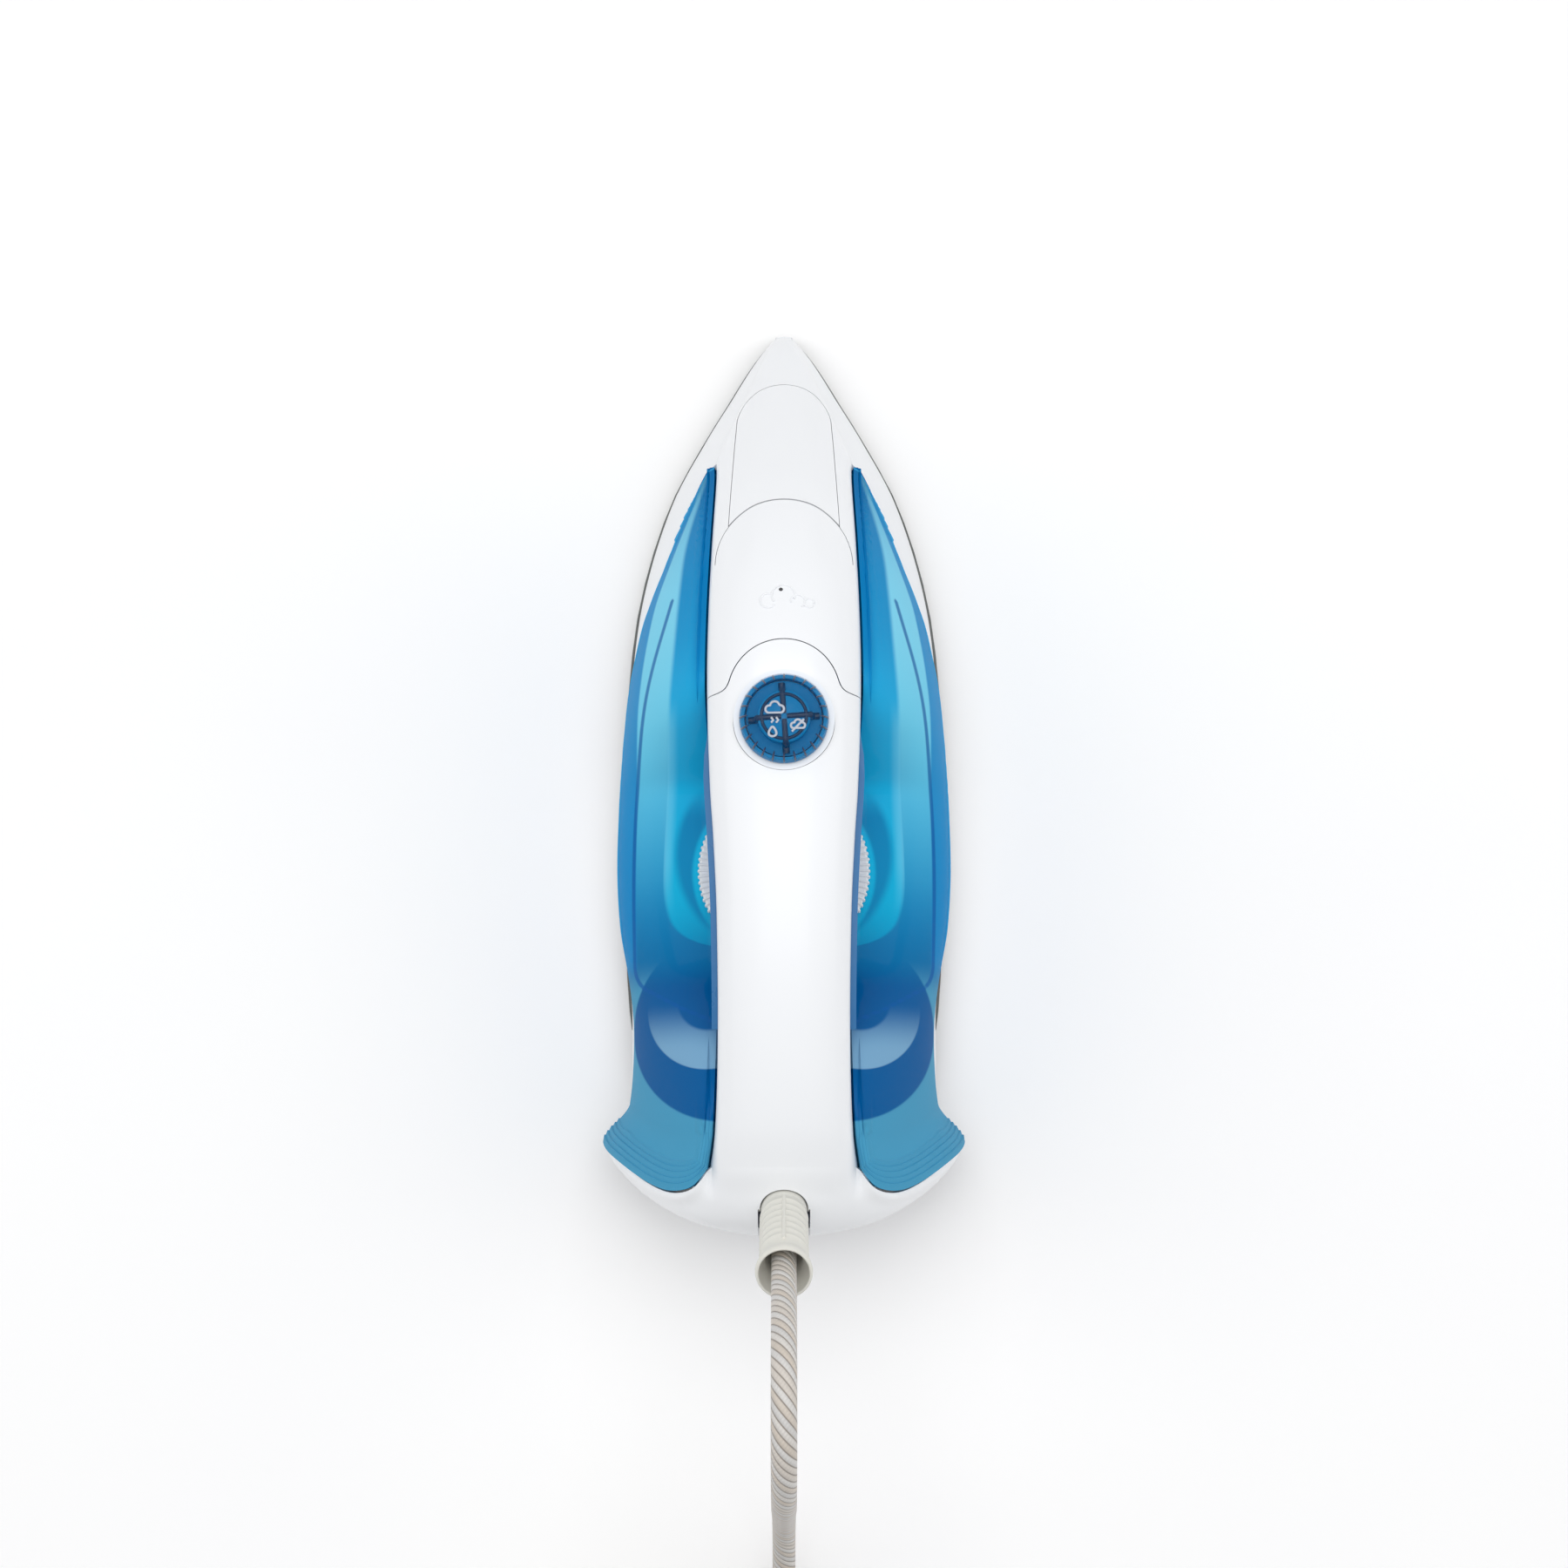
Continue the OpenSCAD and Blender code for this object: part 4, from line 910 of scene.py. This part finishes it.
def tank_paint():
    """See-through blue plastic: deep where the wall is seen on edge, clear and bright over the saddle. Parts
    of its colour are painted light: lighter colour over the rear-facing slope for its shade, a painted
    highlight streak along the flank, a painted highlight along the bead and a painted reflection hook at the
    rear.
    """
    paint = Paint("tank_blue", Roughness=0.12, Alpha=0.99, Coat_Weight=0.12, Coat_Roughness=0.05, IOR=1.49,
                  Specular_IOR_Level=0.0)
    plan, y = paint.plan()
    inward, outward, seam, pool, verge = (
        paint.attribute(name) for name in ("inward", "outward", "seam", "pool", "verge"))

    def band(value, a, b, c, d):
        """1 from b to c, falling to 0 at a and d."""
        return paint.math("MULTIPLY", paint.between(value, a, b), paint.between(value, c, d, 1.0, 0.0))

    def both(a, b, amount=1.0):
        return paint.math("MULTIPLY", paint.math("MULTIPLY", a, b), amount)

    # Colour along the body. Its pale stops, from about y -14 to 75 mm, are partly painted light: a painted
    # highlight streak along the flank, and lighter colour that makes up for the shade of the rear-facing
    # slope.
    along = paint.between(y, -0.070, 0.095, 0.0, 1.0, smooth=False)
    colour = paint.ramp(along, [
        (0.0, linear(6, 104, 160)), (0.10, linear(16, 122, 180)), (0.20, linear(40, 152, 204)),
        (0.34, linear(84, 190, 228)), (0.48, linear(112, 210, 240)), (0.70, linear(136, 218, 244)),
        (0.88, linear(112, 200, 234)), (1.0, linear(2, 92, 152)),
    ])
    trough = paint.ramp(along, [
        (0.0, linear(6, 104, 160)), (0.08, linear(10, 150, 200)), (0.16, linear(16, 186, 228)),
        (0.32, linear(24, 182, 228)), (0.48, linear(40, 176, 228)), (0.62, linear(20, 150, 208)),
        (0.85, linear(8, 136, 198)), (1.0, linear(2, 92, 152)),
    ])
    colour = paint.mix(paint.between(pool, 1.2, -0.6), colour, trough)
    # Painted highlight: a pale streak beside the spine that stands in for a softbox reflection on the flank.
    painted_streak = both(band(pool, -3.0, -0.2, 0.4, 1.0), band(y, -0.050, -0.030, 0.004, 0.014), 0.45)
    colour = paint.mix(painted_streak, colour, linear(120, 212, 242))
    ring = paint.math("SUBTRACT", 1.0, paint.inside(plan, 0, -35.5, 27.4, 0.7))
    crescent = both(ring, paint.inside(plan, 3, -30, 29.5, 1.6))
    crescent = both(crescent, band(y, -0.058, -0.050, -0.020, -0.008), 0.7)
    colour = paint.mix(crescent, colour, linear(8, 116, 176))
    spine = both(paint.between(inward, 7.0, 1.0, 0.0, 1.0), paint.between(y, 0.0, 0.030), 0.6)
    colour = paint.mix(spine, colour, linear(6, 112, 178))
    edge = both(paint.between(verge, -0.5, 0.3), paint.between(y, -0.074, -0.060), 0.92)
    colour = paint.mix(edge, colour, linear(22, 138, 202))
    rear = paint.between(y, -0.060, -0.072)
    colour = paint.mix(rear, colour, linear(4, 92, 156))
    flange = both(rear, paint.math("SUBTRACT", 1.0, paint.inside(plan, 18, -82, 28)))
    colour = paint.mix(flange, colour, linear(74, 156, 194))
    # Painted reflection: a pale hook, the softbox seen in the concave rear wall, cut from one circle by a
    # smaller one.
    hook_cut = paint.math("SUBTRACT", 1.0, paint.inside(plan, 22, -74, 9.5, 0.6))
    hook_reflection = both(both(paint.inside(plan, 22, -76, 19, 0.3), hook_cut), paint.between(y, -0.074, -0.090), 0.8)
    colour = paint.mix(hook_reflection, colour, linear(136, 184, 216))
    rim = both(band(outward, -1.0, 0.0, 1.4, 2.6), paint.between(y, -0.104, -0.090), 0.8)
    colour = paint.mix(rim, colour, linear(14, 88, 156))
    # Painted highlight: a lighter line over the raised bead along the outer edge.
    bead = both(band(outward, 2.6, 3.2, 3.8, 4.6), paint.between(y, -0.070, -0.040), 0.7)
    colour = paint.mix(bead, colour, linear(64, 176, 226))
    wall = paint.between(seam, 0.85, 0.3, 0.0, 0.8)
    colour = paint.mix(wall, colour, linear(10, 92, 166))
    paint.colour(colour)
    paint.bump(paint.noise(700.0, 2.0), 0.00001, 0.1)
    return paint.material


tank_piece()

# ---- Sleeve --------------------------------------------------------------------------------------------


def sleeve_piece():
    ivory = moulded("sleeve_ivory", linear(226, 225, 217), 0.94, (0.38, 0.5), bump=0.00004)
    r, mouth = SLEEVE_R, MOUTH_R
    profile = [(2.2, -3.0), (5.0, -3.0), (5.4, -2.6), (r - 0.3, 4), (r - 0.1, 10), (r, 12)]
    for i in range(7):
        z = 15.0 + 3.6 * i
        profile += [(r, z), (r + 0.28, z + 0.4), (r + 0.36, z + 0.7), (r + 0.28, z + 1.0), (r, z + 1.4)]
    profile += [(r, 41.5), (r + 0.3, 43.0), (mouth - 0.2, 45.4), (mouth, 46.6), (mouth - 0.1, 47.6),
                (mouth - 0.5, 48.0), (7.1, 47.8), (6.9, 47.0), (6.7, 44.0), (5.3, 41.5), (5.2, 10), (2.2, 10),
                (2.2, -3.0)]
    verts, faces = lathe(profile, 72)
    rib = tube([[0, 6.55, 14], [0, 6.6, 40]], 0.6, 12)
    eye = tube([[-7.4, 0, -1], [7.4, 0, -1]], 5.1, 40)
    v, f = join((verts, faces), rib)
    new_object("sleeve_moulding", along_sleeve(v), f, ivory, body="sleeve", slot="ivory",
               replaces=("cord_sleeve",), sharp=40)
    hub = new_object("sleeve_hub", along_sleeve(eye[0]), eye[1], ivory, body="sleeve", slot="ivory", sharp=40)
    carve(hub, along(tube([[-9, 0, 0], [9, 0, 0]], 2.05, 32)))


sleeve_piece()

# ---- Steam dial ----------------------------------------------------------------------------------------

DIAL_CENTRE = (0, DIAL_Y, DIAL_Z)
DOME_R, DOME_H = 12.7, 12
BORE_R, BORE_H = 10.9, 10


def dome_height(r):
    """Height of the dome's outer face at the radius r."""
    return DOME_H * math.sqrt(max(0.0, 1 - (r / DOME_R) ** 2))


def dome_arc(radius, height, start, end):
    """Profile of an oval dome between two angles above its foot."""
    return [(radius * math.cos(a), height * math.sin(a)) for a in np.linspace(start, end, 20)]


def dial_piece():
    glass = Paint("dial_blue", Roughness=0.05, Alpha=0.13, Coat_Weight=0.25, Coat_Roughness=0.03, IOR=1.45,
                  Specular_IOR_Level=0.25)
    where = glass.add("ShaderNodeTexCoord")
    split = glass.add("ShaderNodeSeparateXYZ")
    glass.link(where.outputs["Object"], split.inputs["Vector"])
    rise = glass.between(split.outputs["Z"], DIAL_Z * MM, (DIAL_Z + DOME_H) * MM, 0.0, 1.0, smooth=False)
    blues = [(0.0, linear(2, 78, 142)), (0.5, linear(4, 108, 176)), (1.0, linear(2, 70, 130))]
    glass.colour(glass.ramp(rise, blues))
    outer = [(DOME_R, 0.0), (DOME_R, 2.2)] + dome_arc(DOME_R, DOME_H, 0.2, math.pi / 2)
    inner = dome_arc(BORE_R, BORE_H, math.pi / 2, 0.03) + [(BORE_R, 0.0), (DOME_R, 0.0)]
    verts, faces = lathe(outer + inner, 120, DIAL_CENTRE)
    new_object("dial_dome", verts, faces, glass.material, body="steam_knob", slot="blue_tank",
               replaces=("steam_dial",), sharp=50)
    ribs = []
    for i in range(24):
        a = 2 * math.pi * i / 24
        line = []
        for r in (10.3, 10.8, 11.3, 11.8, 12.2, 12.45):
            line.append([r * math.cos(a), DIAL_Y + r * math.sin(a), DIAL_Z + dome_height(r)])
        ribs.append(tube(line, [0.14, 0.26, 0.3, 0.3, 0.28, 0.2], 8))
    new_object("dial_ribs", *join(*ribs), moulded("rib_navy", linear(4, 40, 86), 0.85, (0.1, 0.2)),
               body="steam_knob", slot="blue_tank", sharp=60)


dial_piece()


def dial_insides():
    navy = moulded("dial_navy", linear(12, 140, 200), 0.85, (0.35, 0.45), Specular_IOR_Level=0.15)
    ink = moulded("dial_black", linear(8, 10, 16), 0.8, (0.3, 0.4))
    paper = moulded("dial_white", linear(246, 248, 250), 0.97, (0.4, 0.5))
    disc = [(0, 0.2), (10.7, 0.2), (10.7, 1.2), (7.4, 1.4), (7.4, 5.6), (7.0, 6.0), (0, 6.2)]
    wall = [(11.0, 0.05), (12.5, 0.05), (12.5, 1.8), (12.1, 3.2), (11.2, 3.0), (11.0, 1.6), (11.0, 0.05)]
    verts, faces = join(lathe(disc, 72, DIAL_CENTRE), lathe(wall, 96, DIAL_CENTRE))
    new_object("dial_seat", verts, faces, navy, body="steam_knob", slot="dark_plastic",
               replaces=("dial_insert",), sharp=40)
    arms = []
    for i in range(4):
        a = math.radians(90 * i + 4)
        c, s = math.cos(a), math.sin(a)
        line = ((0.8, 5.55), (6.6, 5.6), (7.5, 5.2), (7.7, 1.7), (10.0, 1.6))
        path = [[r * c, DIAL_Y + r * s, DIAL_Z + z] for r, z in line]
        arms.append(tube(resample(path, 0.5), 1.0, 8))
    ring = [[x, y, DIAL_Z + 6.0] for x, y in circle_plan(0, DIAL_Y, 6.3, steps=60)]
    ring = tube(ring, 0.5, 8, closed=True)
    new_object("dial_lines", *join(*arms, ring), ink, body="steam_knob", slot="dark_plastic", sharp=60)

    def cloud(x, y, size):
        """Outline of a small cloud of three puffs over a flat base."""
        puffs = ((-0.62, -0.05, 0.42, 250, 75), (0.0, 0.32, 0.52, 150, 20), (0.62, -0.02, 0.42, 95, -80))
        points = []
        for cx, cy, r, start, end in puffs:
            for a in np.radians(np.linspace(start, end, 12)):
                points.append((x + size * (cx + r * math.cos(a)), y + size * (cy + r * math.sin(a))))
        return points

    def mark(points, closed=True):
        line = [[px, DIAL_Y + py, DIAL_Z + 6.45] for px, py in points]
        return tube(line, 0.34, 8, closed=closed)

    steam = [mark(cloud(-2.6, 2.0, 2.5)), mark([(-3.6, -0.4), (-3.0, -1.2), (-3.6, -1.9)], False),
             mark([(-2.2, -0.4), (-1.6, -1.2), (-2.2, -1.9)], False)]
    barred = [mark(cloud(3.9, -2.6, 1.9)), mark([(2.2, -4.4), (5.6, -0.9)], False)]
    drop = []
    for a in np.linspace(0, 2 * math.pi, 28, False):
        drop.append((-3.2 + math.cos(a) * (1 - 0.45 * math.sin(a)), -4.4 + 1.35 * math.sin(a)))
    verts, faces = join(*steam, *barred, mark(drop))
    new_object("dial_marks", verts, faces, paper, body="steam_knob", slot="white_plastic",
               replaces=("dial_icons",), sharp=60)


dial_insides()

# ---- Temperature dial ------------------------------------------------------------------------------------


def temperature_piece():
    profile = [(0, 0.0), (24.8, 0.0), (25.2, 0.4), (25.2, 5.6), (24.6, 6.3), (20.2, 6.5), (19.2, 6.4),
               (18.8, 5.6), (18.6, 5.3), (0, 5.3)]
    rib = ((20.6, 6.45), (22.8, 6.42), (24.6, 6.3), (25.2, 5.7), (25.35, 3.0), (25.3, 0.4))
    disc = lathe(profile, 180, (0, KNOB_Y, KNOB_Z))
    ribs = []
    for i in range(90):
        a = 2 * math.pi * i / 90
        c, s = math.cos(a), math.sin(a)
        path = [[r * c, KNOB_Y + r * s, KNOB_Z + z] for r, z in rib]
        ribs.append(tube(path, [0.2, 0.34, 0.4, 0.45, 0.45, 0.4], 6))
    verts, faces = join(disc, *ribs)
    new_object("temperature_knob", verts, faces, white_satin, body="temperature_knob", slot="white_plastic",
               replaces=("temperature_dial",), sharp=45)


temperature_piece()

# ---- Carried-over pieces -----------------------------------------------------------------------------------

steel = metal("steel", linear(196, 198, 200))
sole_metal = moulded("sole_metal", linear(88, 91, 90), 0.85, (0.3, 0.42), Metallic=0.35)
alloy = metal("cast_alloy", linear(190, 192, 194), (0.45, 0.6), (1, 1, 1), 120.0)
brass = metal("brass", linear(200, 164, 92))
ceramic = moulded("ceramic", linear(232, 226, 212), 0.9, (0.5, 0.65))
dark = moulded("dark_plastic", linear(44, 47, 52), 0.85, (0.4, 0.52))
rubber = moulded("rubber", linear(76, 79, 84), 0.85, (0.55, 0.7))
inner_blue = moulded("inner_blue", linear(70, 168, 214), 0.9, (0.25, 0.35))
under_blue = moulded("under_blue", linear(36, 110, 168), 0.88, (0.25, 0.35))
copper_red = moulded("wire_red", linear(178, 74, 50), 0.85, (0.45, 0.55))
amber = moulded("lamp_amber", linear(232, 158, 60), 0.85, (0.15, 0.25))
DRESS = {
    "sole_sheet": sole_metal, "soleplate_casting": alloy, "heating_element": steel,
    "element_terminals": brass, "steam_chamber_cover": alloy, "thermostat_base": ceramic,
    "thermostat_bimetal": brass, "thermostat_spindle": steel, "thermal_fuse": ceramic,
    "heat_shield": steel, "sole_screws": steel, "tank_base": inner_blue, "valve_seat": rubber,
    "valve_rod": white_satin, "valve_spring": steel, "handle_underside": under_blue,
    "fill_funnel": white_satin, "rear_floor": white_satin, "pump_body": white_satin,
    "pump_piston": dark, "pump_tube": copper_red, "dial_shaft": white_satin, "dial_collar": white,
    "dial_pointer": white_satin, "heel_feet": rubber, "heel_screws": steel, "sleeve_pivot": steel,
    "terminal_block": ceramic, "lead_wires": copper_red, "indicator_lamp": amber, "cord_tie": dark,
    "plug_body": dark, "plug_pins": steel,
}
for node, material in DRESS.items():
    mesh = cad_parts[node].data
    mesh.materials.clear()
    mesh.materials.append(material)



def pump_spring_piece():
    """The button's return spring, wound as a fixed steel helix."""
    low, height, wire, radius, turns = 88.2, 12.6, 0.5, 5.7, 5
    path = []
    for t in np.linspace(0, 1, turns * 24 + 1):
        a = 2 * math.pi * turns * t
        path.append([radius * math.cos(a), 44 + radius * math.sin(a), low + wire + (height - 2 * wire) * t])
    spring = new_object("pump_spring_wound", *tube(path, wire, 10), steel, slot="steel",
                        replaces=("pump_spring",), sharp=60)
    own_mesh(spring)


pump_spring_piece()

# ---- Floor, light and finish ---------------------------------------------------------------------


def floor_piece():
    paint = Paint("floor_paper", Roughness=0.6)
    cloudy = paint.between(paint.noise(4.0, 2.0), 0.3, 0.7)
    paint.colour(paint.mix(cloudy, linear(255, 255, 255), linear(253, 253, 254)))
    verts = [(x, y, -0.05) for y in (-3000, 3000) for x in (-3000, 3000)]
    obj = new_object("floor", verts, [(0, 1, 3, 2)], paint.material, body=None)


floor_piece()


def softbox(name, place, target, size, power):
    """A rectangular lamp at a place, facing a target. Metres and watts."""
    data = bpy.data.lights.new(name, "AREA")
    data.shape = "RECTANGLE"
    data.size, data.size_y = size
    data.energy = power
    obj = bpy.data.objects.new(name, data)
    bpy.context.scene.collection.objects.link(obj)
    obj.location = place
    obj.rotation_euler = (Vector(target) - Vector(place)).to_track_quat("-Z", "Y").to_euler()


softbox("left_box", (-1.3, 0.1, 1.1), (0, 0, 0.06), (0.9, 1.8), 5.0)
softbox("right_box", (1.3, 0.1, 1.1), (0, 0, 0.06), (0.9, 1.8), 5.0)
softbox("top_box", (0, 0.25, 1.65), (0, 0, 0.08), (1.3, 1.5), 12.4)
world = bpy.data.worlds.new("studio")
world.use_nodes = True
world.node_tree.nodes["Background"].inputs["Color"].default_value = (1, 1, 1, 1)
world.node_tree.nodes["Background"].inputs["Strength"].default_value = 0.48
bpy.context.scene.world = world
bpy.context.scene.view_settings.view_transform = "Standard"
